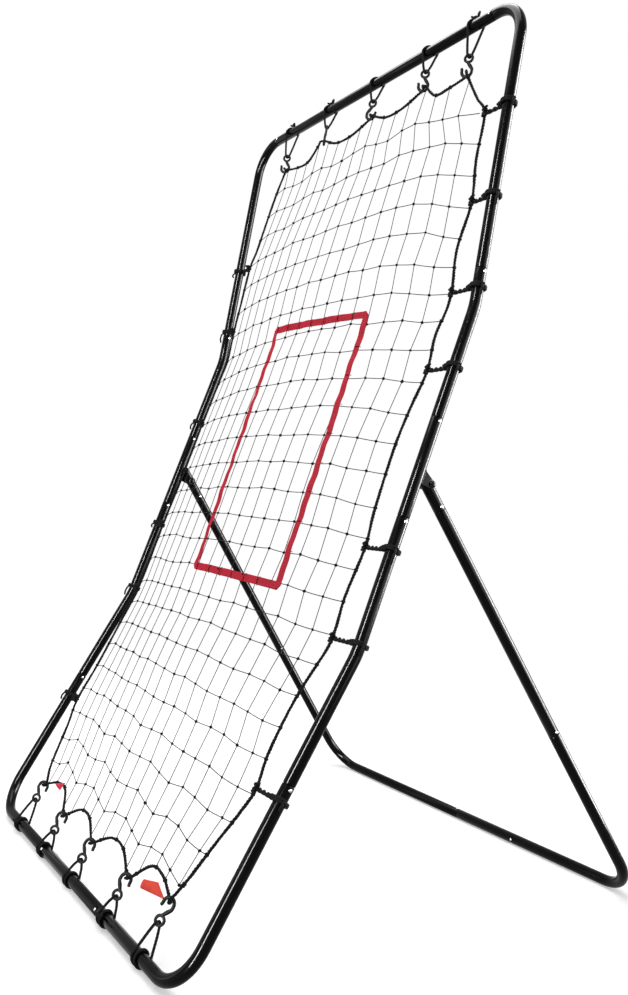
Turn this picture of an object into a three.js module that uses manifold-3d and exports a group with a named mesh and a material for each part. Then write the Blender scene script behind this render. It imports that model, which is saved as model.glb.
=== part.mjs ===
// Pitching target net: a bent tube frame on a fold-out rear leg, with a hooked rebound net.
// Millimetres, +Z up. The pitcher stands on the -Y side; X runs across the net.
import * as THREE from "three";
import Module from "manifold-3d";
import { mergeVertices } from "three/addons/utils/BufferGeometryUtils.js";

// ---- driving dimensions: tubes and frame ----
const RAIL_SPACING = 900; // between the centre-lines of the two side rails
const TUBE_D = 20;
const TUBE_WALL = 1.2;
const GAP = 0.3; // between pieces that touch
const LOWER_RUN = 527; // side rail below its lower bend
const LOWER_LEAN = 31.5; // degrees from upright
const MIDDLE_RUN = 592;
const MIDDLE_LEAN = 20.8;
const UPPER_RUN = 545;
const UPPER_LEAN = 9.7;
const CORNER_R = 70; // bends at the frame's and the leg's corners
const BEND_SOFTNESS = 15; // length of rail on each side of a shallow bend that curves

// ---- driving dimensions: where the tubes part ----
const LOWER_SEAM = 315; // along the side rail, from the bottom rail
const HINGE_TUBE_BELOW = 67.5; // its seams, below and above the hinge's pivot
const HINGE_TUBE_ABOVE = 102.5;
const UPPER_SEAM = 1184;
const BOTTOM_SEAM_X = 154; // from the middle of the bottom rail
const TOP_SEAM_INSET = 74; // in from the side rail's centre-line
const PLUG_LENGTH = 42; // drawn-down end that enters the next tube
const SEAM_GROOVE = 1.5; // open groove that shows at each seam

// ---- driving dimensions: spring buttons ----
const BUTTON_R = 2.6;
const BUTTON_FROM_SEAM = 7;
const BUTTON_PROUD = 1.7;
const BUTTON_FLANGE_R = 4;
const BUTTON_FLANGE_T = 1;

// ---- driving dimensions: rear leg and its hinges ----
const LEG_LEAN = 33.8; // degrees from upright, legs open
const LEG_SPLAY = 2.2; // degrees by which each side of the leg runs outward
const HINGE_ALONG = 817.5; // pivot, along the side rail
const HINGE_BEHIND = 30; // pivot, behind the rail's centre-line
const TAB_T = 3;
const TAB_OUTBOARD = 2; // tab's middle plane, out from the rail's centre-line
const TAB_ROOM = 1.3; // between the tab and the splayed leg
const TAB_NOSE_R = 12;
const TAB_FOOT = 18; // half of the tab's welded foot
const BOLT_R = 4;
const BOLT_HEAD_R = 8;
const BOLT_HEAD_H = 4.5;
const NUT_R = 7.5;
const NUT_H = 6;
const LEG_UPPER_SEAM = 49; // down the leg, from the pivot
const LEG_LOWER_SEAM = 501;
const LEG_RIVET_X = 170; // rivet on the base, right of its middle seam

// ---- driving dimensions: cords, hooks and net ----
const ELASTIC_D = 3.5;
const ROPE_D = 5;
const TWINE_D = 2;
const TOP_HOOK_X = [-315, -151, 23, 193, 321];
const BOTTOM_HOOK_X = [-314, -160, -2, 170, 318];
const TOP_OUTER_DROP = 62; // ring centres below the top rail
const TOP_INNER_DROP = 43;
const BOTTOM_OUTER_RISE = 56; // ring centres above the bottom rail
const BOTTOM_INNER_RISE = 38;
const RING_OUTER_R = 8.5; // a hook's eye
const RING_HOLE_R = 5.2;
const HOOK_T = 4; // moulded flat
const HOOK_W = 22;
const HOOK_LENGTH = 37; // from the eye's centre to the outside of the bowl
const BOWL_INNER_R = 6.5;
const TOP_SCALLOP = 26; // how far the border rope droops between two top hooks
const BOTTOM_ARCH = 24; // how far it rises between two bottom hooks
const NET_COLUMN_X = [-260, -182, -104, -26, 52, 130, 208, 286]; // clear of the hooks
const NET_EDGE_INSET = 112; // outermost columns, in from the rails' centre-lines
const NET_ROWS = 14;
const NET_LOW = 186; // first and last row, along the rails
const NET_HIGH = 1476;
const NET_BULGE = 38; // how far the middle of the net stands forward of the rails
const NET_RISE = 450; // from the bottom rope to where it stands fully forward
const NET_FALL = 400; // from there to the top rope
const ZONE_W = 328;
const ZONE_CENTRE = 39.5; // it is sewn on right of the middle
const ZONE_BOTTOM = 597; // along the rails, outer edges
const ZONE_TOP = 1147;
const WEBBING_W = 15;
const WEBBING_T = 1.2;

// ---- facets ----
const TUBE_SIDES = 12;
const CORD_SIDES = 8;
const CORNER_STEPS = 6;
const WRAP_STEPS = 6;

// ---- what follows from them ----
const TUBE_R = TUBE_D / 2;
const BORE_R = TUBE_R - TUBE_WALL;
const PLUG_R = BORE_R - GAP;
const PLUG_BORE_R = PLUG_R - TUBE_WALL;
const PLUG_TAPER = SEAM_GROOVE - GAP;
const ELASTIC_R = ELASTIC_D / 2;
const ROPE_R = ROPE_D / 2;
const RAIL_X = RAIL_SPACING / 2;
const WRAP_R = TUBE_R + GAP + ELASTIC_R; // centre-line of a cord wound on a tube
const BOTTOM_RAIL_Z = WRAP_R / Math.cos(Math.PI / (2 * WRAP_STEPS)) + ELASTIC_R; // rests on its cords
const HINGE_TUBE_START = HINGE_ALONG - HINGE_TUBE_BELOW;
const HINGE_TUBE_END = HINGE_ALONG + HINGE_TUBE_ABOVE;
const BENDS = [LOWER_RUN, LOWER_RUN + MIDDLE_RUN];
const RAIL_RUN = LOWER_RUN + MIDDLE_RUN + UPPER_RUN;
const TAB_X = RAIL_X + TAB_OUTBOARD;
const LEG_X = TAB_X - TAB_T / 2 - TAB_ROOM - TUBE_R;
const BOWL_OUTER_R = HOOK_W / 2;
const BOWL_V = HOOK_LENGTH - BOWL_OUTER_R; // bowl's centre, from the eye's centre
const HOOK_SEAT = BOWL_V + BOWL_INNER_R - ROPE_R - 1.7; // rope in the bowl, from the eye's centre
const HOOK_COUNT = TOP_HOOK_X.length;

const wasm = await Module();
wasm.setup();

// ---- materials ----
const paint = (color, roughness, metalness) =>
  new THREE.MeshStandardMaterial({ color, roughness, metalness });
const BLACK_STEEL = paint(0x141518, 0.25, 0.35);
const BRIGHT_STEEL = paint(0xb9bcc0, 0.28, 0.95);
const BLACK_HOOK = paint(0x101113, 0.4, 0.1);
const ELASTIC = paint(0x121214, 0.85, 0);
const ROPE = paint(0x111112, 0.95, 0);
const TWINE = paint(0x26272a, 0.9, 0);
const RED_WEBBING = paint(0xc81e32, 0.8, 0);

const part = new THREE.Group();
part.name = "pitching_target_net";

function addMesh(name, geometry, material) {
  const mesh = new THREE.Mesh(geometry, material);
  mesh.name = name;
  part.add(mesh);
  return mesh;
}

// ---- solids: joining, cutting and placing closed geometry ----
function signedVolume(positions, indices) {
  const [a, b, c] = [new THREE.Vector3(), new THREE.Vector3(), new THREE.Vector3()];
  let sum = 0;
  for (let i = 0; i < indices.length; i += 3) {
    a.fromArray(positions, indices[i] * 3);
    b.fromArray(positions, indices[i + 1] * 3);
    c.fromArray(positions, indices[i + 2] * 3);
    sum += a.dot(b.cross(c));
  }
  return sum / 6;
}

function toSolid(geometry) {
  const bare = geometry.clone();
  bare.deleteAttribute("normal");
  bare.deleteAttribute("uv");
  const merged = mergeVertices(bare, 1e-4);
  const vertProperties = Float32Array.from(merged.attributes.position.array);
  const triVerts = Uint32Array.from(merged.index.array);
  if (signedVolume(vertProperties, triVerts) < 0) {
    for (let i = 0; i < triVerts.length; i += 3) {
      [triVerts[i], triVerts[i + 1]] = [triVerts[i + 1], triVerts[i]];
    }
  }
  return new wasm.Manifold(new wasm.Mesh({ numProp: 3, vertProperties, triVerts }));
}

function toGeometry(solid) {
  const mesh = solid.getMesh();
  const geometry = new THREE.BufferGeometry();
  geometry.setAttribute("position", new THREE.BufferAttribute(mesh.vertProperties, 3));
  geometry.setIndex(new THREE.BufferAttribute(mesh.triVerts, 1));
  geometry.computeVertexNormals();
  return geometry;
}

const join = (solids) => solids.reduce((whole, next) => whole.add(next));

// Turns a shape made along +Y so that it runs along `direction` from `origin`.
function alignY(geometry, origin, direction) {
  const turn = new THREE.Quaternion().setFromUnitVectors(new THREE.Vector3(0, 1, 0), direction);
  return geometry.applyQuaternion(turn).translate(origin.x, origin.y, origin.z);
}

// ---- the frame's curved surface: x across, s along the side rails, behind = off the rails ----
const radians = THREE.MathUtils.degToRad;

function profile(s) {
  const leans = [LOWER_LEAN, MIDDLE_LEAN, UPPER_LEAN].map(radians);
  const starts = [0, ...BENDS];
  const corners = [new THREE.Vector2(0, BOTTOM_RAIL_Z)];
  BENDS.forEach((bend, i) => {
    const run = bend - starts[i];
    corners.push(new THREE.Vector2(Math.sin(leans[i]), Math.cos(leans[i])).multiplyScalar(run));
    corners[i + 1].add(corners[i]);
  });
  const along = (i, length) =>
    new THREE.Vector2(Math.sin(leans[i]), Math.cos(leans[i])).multiplyScalar(length).add(corners[i]);
  for (const [i, bend] of BENDS.entries()) {
    const u = (s - bend + BEND_SOFTNESS) / (2 * BEND_SOFTNESS);
    if (u > 0 && u < 1) {
      const before = along(i, bend - BEND_SOFTNESS - starts[i]);
      const after = along(i + 1, BEND_SOFTNESS);
      const point = before.multiplyScalar((1 - u) ** 2);
      point.addScaledVector(corners[i + 1], 2 * u * (1 - u)).addScaledVector(after, u * u);
      return { point, lean: leans[i] + (leans[i + 1] - leans[i]) * u };
    }
  }
  const i = BENDS.filter((bend) => s >= bend).length;
  return { point: along(i, s - starts[i]), lean: leans[i] };
}

function onFrame(x, s, behind = 0) {
  const { point, lean } = profile(s);
  const y = point.x + Math.cos(lean) * behind;
  const z = point.y - Math.sin(lean) * behind;
  return new THREE.Vector3(x, y, z);
}

function railDirection(s) {
  const { lean } = profile(s);
  return new THREE.Vector3(0, Math.sin(lean), Math.cos(lean));
}

function rearDirection(s) {
  const { lean } = profile(s);
  return new THREE.Vector3(0, Math.cos(lean), -Math.sin(lean));
}

// ---- ring bodies: circles carried along a route and closed on themselves ----
// Each ring is { centre, direction, radius }; `across` gives every ring the same turn.
function ringBody(rings, sides, across) {
  const positions = [];
  const indices = [];
  rings.forEach(({ centre, direction, radius }, i) => {
    const reference = typeof across === "function" ? across(i) : across;
    const u = reference.clone().addScaledVector(direction, -reference.dot(direction)).normalize();
    const v = direction.clone().cross(u);
    for (let k = 0; k < sides; k += 1) {
      const angle = (k / sides) * 2 * Math.PI;
      const corner = centre.clone().addScaledVector(u, radius * Math.cos(angle));
      positions.push(...corner.addScaledVector(v, radius * Math.sin(angle)).toArray());
      const next = (i + 1) % rings.length;
      const [a, b] = [i * sides + k, i * sides + ((k + 1) % sides)];
      const [c, d] = [next * sides + k, next * sides + ((k + 1) % sides)];
      indices.push(a, c, b, b, c, d);
    }
  });
  const geometry = new THREE.BufferGeometry();
  geometry.setAttribute("position", new THREE.Float32BufferAttribute(positions, 3));
  geometry.setIndex(indices);
  return geometry;
}

// Direction of a route at each of its points: half-way between its two legs there.
function directions(points, closed) {
  const count = points.length;
  return points.map((point, i) => {
    const before = closed ? points[(i + count - 1) % count] : points[Math.max(i - 1, 0)];
    const after = closed ? points[(i + 1) % count] : points[Math.min(i + 1, count - 1)];
    const incoming = point.clone().sub(before).normalize();
    return incoming.add(after.clone().sub(point).normalize()).normalize();
  });
}

// A cord whose ends meet.
function cordLoop(points, radius, across) {
  const ways = directions(points, true);
  const rings = points.map((centre, i) => ({ centre, direction: ways[i], radius }));
  return ringBody(rings, CORD_SIDES, across);
}

function circle(radius, count) {
  const angles = Array.from({ length: count }, (_, i) => (2 * Math.PI * i) / count);
  return angles.map((angle) => (
    new THREE.Vector2(radius * Math.cos(angle), radius * Math.sin(angle))
  ));
}

function revolve(profilePoints, segments) {
  return new THREE.LatheGeometry(profilePoints.map(([r, y]) => new THREE.Vector2(r, y)), segments);
}

// ---- tube runs ----
function sideRun(x, from, to) {
  const stops = [from, to];
  for (const bend of BENDS) {
    for (const share of [-1, -0.5, 0, 0.5, 1]) {
      const s = bend + share * BEND_SOFTNESS;
      if (s > Math.min(from, to) && s < Math.max(from, to)) stops.push(s);
    }
  }
  stops.sort((a, b) => (from < to ? a - b : b - a));
  return stops.map((s) => onFrame(x, s));
}

// Arc from `start`, leaving along `out` and turning toward `turn`; a quarter circle unless said.
function cornerBend(start, out, turn, sweep = Math.PI / 2) {
  const points = [];
  for (let i = 0; i <= CORNER_STEPS; i += 1) {
    const angle = (i / CORNER_STEPS) * sweep;
    const point = start.clone().addScaledVector(out, Math.sin(angle) * CORNER_R);
    points.push(point.addScaledVector(turn, (1 - Math.cos(angle)) * CORNER_R));
  }
  return points;
}

// ---- seams: the plug of one tube enters the socket of the next and a spring button locks it ----
const seams = [];

function addSeam(name, at, intoSocket, buttonOut) {
  const seam = { name, at, intoSocket, buttonOut };
  seam.button = at.clone().addScaledVector(intoSocket, BUTTON_FROM_SEAM);
  seams.push(seam);
  return seam;
}

function buttonHole(seam) {
  const hole = new THREE.CylinderGeometry(BUTTON_R + GAP, BUTTON_R + GAP, TUBE_D, CORD_SIDES);
  hole.translate(0, TUBE_D / 2, 0);
  return toSolid(alignY(hole, seam.button, seam.buttonOut));
}

// How each kind of tube end runs: [distance past the seam, radius], outside and in the bore.
const ENDS = {
  plug: {
    outside: [[PLUG_LENGTH, PLUG_R], [PLUG_TAPER, PLUG_R], [0, TUBE_R]],
    bore: [[PLUG_LENGTH, PLUG_BORE_R], [PLUG_TAPER - TUBE_WALL, PLUG_BORE_R], [-TUBE_WALL, BORE_R]],
  },
  socket: { outside: [[-SEAM_GROOVE, TUBE_R]], bore: [[-SEAM_GROOVE, BORE_R]] },
  plain: { outside: [[0, TUBE_R]], bore: [[0, BORE_R]] },
};

// A hollow tube along `points`, which lie in the plane square to `planeNormal`.
function tube(points, planeNormal, ends, { buttonSeams, cuts = [], joins = [] }) {
  const ways = directions(points, false);
  const last = points.length - 1;
  const endRings = (at, outward, shape) => shape.map(([distance, radius]) => (
    { centre: points[at].clone().addScaledVector(outward, distance), direction: ways[at], radius }
  ));
  const wall = (face, wallRadius) => {
    const middle = points.slice(1, last).map((centre, i) => (
      { centre, direction: ways[i + 1], radius: wallRadius }
    ));
    const start = endRings(0, ways[0].clone().negate(), ENDS[ends[0]][face]);
    const end = endRings(last, ways[last], ENDS[ends[1]][face]).reverse();
    return [...start, ...middle, ...end];
  };
  const rings = [...wall("outside", TUBE_R), ...wall("bore", BORE_R).reverse()];
  let solid = join([toSolid(ringBody(rings, TUBE_SIDES, planeNormal)), ...joins]);
  for (const cut of [...buttonSeams.map(buttonHole), ...cuts]) solid = solid.subtract(cut);
  return toGeometry(solid);
}

// ---- hinge: welded tab on the rail, leg inboard of it, one bolt through both ----
const pivot = (side) => onFrame(side * LEG_X, HINGE_ALONG, HINGE_BEHIND);
const legPlane = new THREE.Vector3(0, Math.sin(radians(LEG_LEAN)), -Math.cos(radians(LEG_LEAN)));
const legReach = (pivot(1).z - TUBE_R) / (-legPlane.z * Math.cos(radians(LEG_SPLAY)));

// Direction in which one side of the leg runs down from its hinge.
function legDown(side) {
  const down = legPlane.clone().multiplyScalar(Math.cos(radians(LEG_SPLAY)));
  return down.setX(side * Math.sin(radians(LEG_SPLAY)));
}

function boltHole(side) {
  const hole = new THREE.CylinderGeometry(BOLT_R + GAP, BOLT_R + GAP, 4 * TUBE_D, TUBE_SIDES);
  return toSolid(alignY(hole, pivot(side), new THREE.Vector3(1, 0, 0)));
}

function hingeTab(side) {
  const foot = BORE_R + 0.4; // ends inside the rail's wall, where it is welded
  const outline = new THREE.Shape();
  outline.moveTo(-TAB_FOOT, foot);
  outline.lineTo(TAB_FOOT, foot);
  outline.lineTo(TAB_NOSE_R, HINGE_BEHIND);
  outline.absarc(0, HINGE_BEHIND, TAB_NOSE_R, 0, Math.PI);
  outline.lineTo(-TAB_FOOT, foot);
  const plate = new THREE.ExtrudeGeometry(outline, { depth: TAB_T, curveSegments: 6, bevelEnabled: false });
  plate.translate(0, 0, -TAB_T / 2);
  const axes = new THREE.Matrix4().makeBasis(
    railDirection(HINGE_ALONG), rearDirection(HINGE_ALONG), new THREE.Vector3(-1, 0, 0),
  );
  axes.setPosition(onFrame(side * TAB_X, HINGE_ALONG));
  return toSolid(plate.applyMatrix4(axes));
}

// Cuts the leg's upper end parallel to the rail, which it leans against when open.
function legEndCut(side) {
  const reach = 6 * TUBE_D;
  const block = new THREE.BoxGeometry(reach, reach, reach);
  const axes = new THREE.Matrix4().makeBasis(
    railDirection(HINGE_ALONG), rearDirection(HINGE_ALONG), new THREE.Vector3(-1, 0, 0),
  );
  axes.setPosition(onFrame(side * LEG_X, HINGE_ALONG, TUBE_R + GAP - reach / 2));
  return toSolid(block.applyMatrix4(axes));
}

function hingeBolt(side) {
  const inner = TAB_OUTBOARD + TAB_T / 2 + GAP;
  const tilt = BOLT_HEAD_R * Math.tan(radians(LEG_SPLAY)); // the head clears the splayed leg
  const seat = RAIL_X - LEG_X + TUBE_R + tilt + GAP; // under the head, in from the rail's centre
  const head = seat + BOLT_HEAD_H;
  const outline = [
    [0, -inner - NUT_H - 1], [BOLT_R, -inner - NUT_H - 1], [BOLT_R, seat], [BOLT_HEAD_R, seat],
    [BOLT_HEAD_R * 0.85, seat + BOLT_HEAD_H * 0.6], [BOLT_HEAD_R * 0.45, head - 0.4], [0, head],
  ];
  const nut = new THREE.CylinderGeometry(NUT_R, NUT_R, NUT_H, 6).translate(0, -inner - NUT_H / 2, 0);
  const whole = join([toSolid(revolve(outline, TUBE_SIDES)), toSolid(nut)]);
  const middle = pivot(side).setX(side * RAIL_X);
  return alignY(toGeometry(whole), middle, new THREE.Vector3(-side, 0, 0));
}

// ---- frame tubes ----
const across = new THREE.Vector3(1, 0, 0);
const frontOf = (s) => rearDirection(s).negate();

function buildFrameTubes() {
  const centreSeams = { top: [], bottom: [] };
  for (const [sideName, side] of [["right", 1], ["left", -1]]) {
    const x = side * RAIL_X;
    const down = (s) => railDirection(s).negate();
    const inward = across.clone().multiplyScalar(-side);
    const seam = (label, s) => addSeam(`${sideName}_${label}`, onFrame(x, s), down(s), across);
    const low = seam("lower", LOWER_SEAM);
    const hingeLow = seam("below_hinge", HINGE_TUBE_START);
    const hingeHigh = seam("above_hinge", HINGE_TUBE_END);
    const high = seam("upper", UPPER_SEAM);
    const bottom = addSeam(
      `${sideName}_bottom`, onFrame(side * BOTTOM_SEAM_X, 0), inward, frontOf(0),
    );
    const top = addSeam(
      `${sideName}_top`, onFrame(side * (RAIL_X - TOP_SEAM_INSET), RAIL_RUN), inward, frontOf(RAIL_RUN),
    );
    centreSeams.top.push(top);
    centreSeams.bottom.push(bottom);

    const outward = inward.clone().negate();
    const bottomCorner = [
      bottom.at,
      ...cornerBend(onFrame(side * (RAIL_X - CORNER_R), 0), outward, railDirection(0)),
      low.at,
    ];
    const topCorner = [
      high.at,
      ...cornerBend(onFrame(x, RAIL_RUN - CORNER_R), railDirection(RAIL_RUN), inward),
      top.at,
    ];
    const sideTube = (from, to, ends, extras) => tube(sideRun(x, from, to), across, ends, extras);
    const plugToSocket = ["plug", "socket"];
    const pieces = {
      bottom_corner_tube: tube(bottomCorner, rearDirection(0), plugToSocket, {
        buttonSeams: [bottom, low],
      }),
      lower_bent_tube: sideTube(LOWER_SEAM, HINGE_TUBE_START, plugToSocket, {
        buttonSeams: [low, hingeLow],
      }),
      hinge_tube: sideTube(HINGE_TUBE_START, HINGE_TUBE_END, plugToSocket, {
        buttonSeams: [hingeLow, hingeHigh], joins: [hingeTab(side)], cuts: [boltHole(side)],
      }),
      upper_bent_tube: sideTube(HINGE_TUBE_END, UPPER_SEAM, plugToSocket, {
        buttonSeams: [hingeHigh, high],
      }),
      top_corner_tube: tube(topCorner, rearDirection(RAIL_RUN), ["plug", "plug"], {
        buttonSeams: [high, top],
      }),
    };
    for (const [label, geometry] of Object.entries(pieces)) {
      addMesh(`${sideName}_${label}`, geometry, BLACK_STEEL);
    }
    addMesh(`${sideName}_hinge_bolt`, hingeBolt(side), BRIGHT_STEEL);
  }
  for (const [place, [rightSeam, leftSeam]] of Object.entries(centreSeams)) {
    const geometry = tube([rightSeam.at, leftSeam.at], rightSeam.buttonOut, ["socket", "socket"], {
      buttonSeams: [rightSeam, leftSeam],
    });
    addMesh(`${place}_centre_tube`, geometry, BLACK_STEEL);
  }
}

// ---- rear leg: a U of six tubes ----
function rivet(at, out) {
  const outline = [[0, TUBE_R - 1], [2.6, TUBE_R - 1], [2.6, TUBE_R + 0.6], [0, TUBE_R + 1.5]];
  return toSolid(alignY(revolve(outline, CORD_SIDES), at, out));
}

function buildLeg() {
  const baseAt = (x) => pivot(1).addScaledVector(legDown(1), legReach).setX(x);
  const up = new THREE.Vector3(0, 0, 1);
  const base = addSeam("leg_base", baseAt(0), across.clone().negate(), up);
  for (const [sideName, side] of [["right", 1], ["left", -1]]) {
    const way = legDown(side);
    const down = (length) => pivot(side).addScaledVector(way, length);
    const legUp = way.clone().negate();
    const squareTo = (direction) => direction.clone().addScaledVector(way, -direction.dot(way)).normalize();
    const upper = addSeam(`${sideName}_leg_upper`, down(LEG_UPPER_SEAM), legUp, squareTo(across));
    const lower = addSeam(`${sideName}_leg_lower`, down(LEG_LOWER_SEAM), legUp, squareTo(across));
    const inward = across.clone().multiplyScalar(-side);
    const sweep = way.angleTo(inward);
    const setBack = CORNER_R * Math.tan(sweep / 2);
    const corner = cornerBend(down(legReach - setBack), way, squareTo(inward), sweep);
    const foot = [lower.at, ...corner, base.at];
    const legRear = way.clone().cross(inward).normalize();
    const pieces = {
      leg_upper_tube: tube([down(-2 * TUBE_D), upper.at], across, ["plain", "socket"], {
        buttonSeams: [upper], cuts: [boltHole(side), legEndCut(side)],
      }),
      leg_middle_tube: tube([upper.at, lower.at], across, ["plug", "socket"], {
        buttonSeams: [upper, lower],
      }),
      leg_foot_tube: tube(foot, legRear, ["plug", side > 0 ? "plug" : "socket"], {
        buttonSeams: [lower, base],
        joins: side > 0 ? [rivet(baseAt(LEG_RIVET_X), new THREE.Vector3(0, -1, 0))] : [],
      }),
    };
    for (const [label, geometry] of Object.entries(pieces)) {
      addMesh(`${sideName}_${label}`, geometry, BLACK_STEEL);
    }
  }
}

// ---- spring buttons ----
function buildButtons() {
  const flange = Math.sqrt(PLUG_BORE_R ** 2 - BUTTON_FLANGE_R ** 2) - 3 * GAP;
  const outline = [
    [0, flange - BUTTON_FLANGE_T], [BUTTON_FLANGE_R, flange - BUTTON_FLANGE_T],
    [BUTTON_FLANGE_R, flange], [BUTTON_R, flange], [BUTTON_R, TUBE_R + BUTTON_PROUD * 0.5],
    [0, TUBE_R + BUTTON_PROUD],
  ];
  for (const seam of seams) {
    const shape = alignY(revolve(outline, CORD_SIDES), seam.button, seam.buttonOut);
    addMesh(`${seam.name}_button`, toGeometry(toSolid(shape)), BRIGHT_STEEL);
  }
}

// ---- hooks and their elastic loops ----
// Each hanger: x of its ring, s of its ring, toward the rail (+1 up, -1 down), open side of the hook.
function hangers() {
  const list = [];
  for (let i = 0; i < HOOK_COUNT; i += 1) {
    const outer = i === 0 || i === HOOK_COUNT - 1;
    const drop = outer ? TOP_OUTER_DROP : TOP_INNER_DROP;
    const rise = outer ? BOTTOM_OUTER_RISE : BOTTOM_INNER_RISE;
    const common = { name: `top_${i + 1}`, x: TOP_HOOK_X[i], tip: i === 2 ? 1 : -1 };
    list.push({ ...common, s: RAIL_RUN - drop, rail: RAIL_RUN, toRail: 1 });
    const low = { name: `bottom_${i + 1}`, x: BOTTOM_HOOK_X[i], tip: i === 4 ? -1 : 1 };
    list.push({ ...low, s: rise, rail: 0, toRail: -1 });
  }
  return list;
}

// Points of a hanger are written in its own plane: u across, v away from the rail, w to the rear.
const hangerPoint = (hanger, u, v, w = 0) =>
  onFrame(hanger.x + u, hanger.s - hanger.toRail * v, w);

// A flat moulded hook: an eye, a tapering neck and a J whose tip is on the side `tip`.
function hookGeometry(hanger) {
  const { tip } = hanger;
  const shank = BOWL_OUTER_R;
  const inner = BOWL_INNER_R;
  const outline = new THREE.Shape();
  outline.absarc(0, 0, RING_OUTER_R, radians(60), radians(-210), true);
  outline.lineTo(-shank + 1, RING_OUTER_R + 5);
  outline.lineTo(-shank, BOWL_V - 6);
  outline.absarc(0, BOWL_V, shank, Math.PI, 0, true);
  outline.lineTo(shank, BOWL_V - 4);
  outline.lineTo((shank + inner) / 2, BOWL_V - 6);
  outline.lineTo(inner, BOWL_V - 4);
  outline.absarc(0, BOWL_V, inner, 0, Math.PI, false);
  outline.lineTo(-inner, BOWL_V - 6);
  outline.lineTo(-inner + 3, RING_OUTER_R + 5);
  outline.holes.push(new THREE.Path(circle(RING_HOLE_R, TUBE_SIDES)));
  const plate = new THREE.ExtrudeGeometry(outline, {
    depth: HOOK_T, curveSegments: 4, bevelEnabled: false,
  });
  plate.translate(0, 0, -HOOK_T / 2);
  const axes = new THREE.Matrix4().makeBasis(
    across.clone().multiplyScalar(tip),
    railDirection(hanger.s).multiplyScalar(-hanger.toRail),
    rearDirection(hanger.s),
  );
  axes.setPosition(onFrame(hanger.x, hanger.s));
  return toGeometry(toSolid(plate.applyMatrix4(axes)));
}

// Points on a circle round a tube, pushed out so that the chords between them clear it.
function wrapPoints(fromAngle, toAngle) {
  const step = (toAngle - fromAngle) / WRAP_STEPS;
  const radius = WRAP_R / Math.cos(step / 2);
  const points = [];
  for (let i = 0; i <= WRAP_STEPS; i += 1) {
    const angle = fromAngle + i * step;
    points.push([radius * Math.cos(angle), radius * Math.sin(angle), i / WRAP_STEPS]);
  }
  return points;
}

// One elastic cord: through the eye, up the front of the rail, round it and back down behind.
function loopGeometry(hanger) {
  const v = -Math.abs(hanger.rail - hanger.s); // the rail's centre-line in the hanger's plane
  const rearU = 16;
  const points = wrapPoints(-Math.PI / 2, Math.PI / 2).map(([out, behind, share]) => (
    [rearU * share, v - out, behind]
  ));
  const cornerR = ELASTIC_R + GAP + 0.15; // round the edges of the eye's band
  const bend = cornerR * Math.SQRT1_2;
  const half = HOOK_T / 2;
  points.push([1.5, -RING_HOLE_R, half + cornerR], [1, -RING_HOLE_R + bend, half + bend]);
  points.push([0.5, -RING_HOLE_R + cornerR, half], [-0.5, -RING_HOLE_R + cornerR, -half]);
  points.push([-1, -RING_HOLE_R + bend, -half - bend], [-1.5, -RING_HOLE_R, -half - cornerR]);
  const places = points.map(([u, along, behind]) => hangerPoint(hanger, u, along, behind));
  return toGeometry(toSolid(cordLoop(places, ELASTIC_R, across)));
}

function buildHangers() {
  for (const hanger of hangers()) {
    addMesh(`${hanger.name}_hook`, hookGeometry(hanger), BLACK_HOOK);
    addMesh(`${hanger.name}_elastic_loop`, loopGeometry(hanger), ELASTIC);
  }
}

// ---- border rope, with the elastic ties that are knotted to it ----
// Where each tie leaves the rope: [s along the rail, in from the rail's centre-line].
const RIGHT_TIES = [
  [1472, 58], [1310, 53], [1152, 66], [1009, 68], [695, 71], [542, 75], [288, 70],
];
const LEFT_TIES = [
  [1345, 51], [1191, 31], [955, 24], [696, 24], [539, 26], [263, 51],
];
// Where the rope runs between them, down the right side and up the left.
const RIGHT_ROPE = [
  [1538, 105], [1508, 84], [1472, 58], [1430, 60], [1390, 60], [1310, 53], [1250, 70], [1190, 70],
  [1152, 66], [1090, 78], [1050, 74], [1009, 68], [950, 77], [869, 85], [815, 85], [759, 80],
  [695, 71], [645, 76], [605, 79], [542, 75], [490, 86], [438, 89], [365, 87], [330, 84],
  [288, 70], [247, 78], [190, 97], [125, 117],
];
const LEFT_ROPE = [
  [125, 112], [161, 98], [207, 79], [263, 51], [350, 47], [418, 40], [471, 31], [539, 26],
  [610, 26], [696, 24], [830, 26], [955, 24], [1080, 24], [1191, 31], [1253, 39], [1345, 51],
  [1384, 70], [1434, 87], [1487, 105], [1530, 122],
];

function ropePoints() {
  const aside = HOOK_T / 2 + ROPE_R + 2;
  const flank = BOWL_INNER_R - 0.3;
  const points = [];
  const row = (toRail) => hangers().filter((hanger) => hanger.toRail === toRail);
  const along = (hangersInRow, way, rise) => {
    hangersInRow.forEach((hanger, i) => {
      const { x, tip } = hanger;
      const s = hanger.s - hanger.toRail * HOOK_SEAT;
      const side = aside * way * tip;
      const beyond = [16, s - hanger.toRail * 6, 0.5];
      const corner = [BOWL_OUTER_R - 1, s - hanger.toRail * 8, 0.9];
      const [before, after] = [i === 0 ? corner : beyond, i === 4 ? corner : beyond];
      points.push([x - way * before[0], before[1], -side * before[2]]);
      points.push([x - way * flank, s, -side]);
      points.push([x + way * flank, s, side]);
      points.push([x + way * after[0], after[1], side * after[2]]);
      if (i === hangersInRow.length - 1) return;
      const next = hangersInRow[i + 1];
      const middle = (s + next.s - next.toRail * HOOK_SEAT) / 2;
      for (const share of [0.35, 0.65]) {
        const between = x + (next.x - x) * share;
        points.push([between, middle + rise * 4 * share * (1 - share), 0]);
      }
    });
  };
  along(row(1), 1, -TOP_SCALLOP);
  for (const [s, inset] of RIGHT_ROPE) points.push([RAIL_X - inset, s, 0]);
  along(row(-1).reverse(), -1, BOTTOM_ARCH);
  for (const [s, inset] of LEFT_ROPE) points.push([inset - RAIL_X, s, 0]);
  return points;
}

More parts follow.
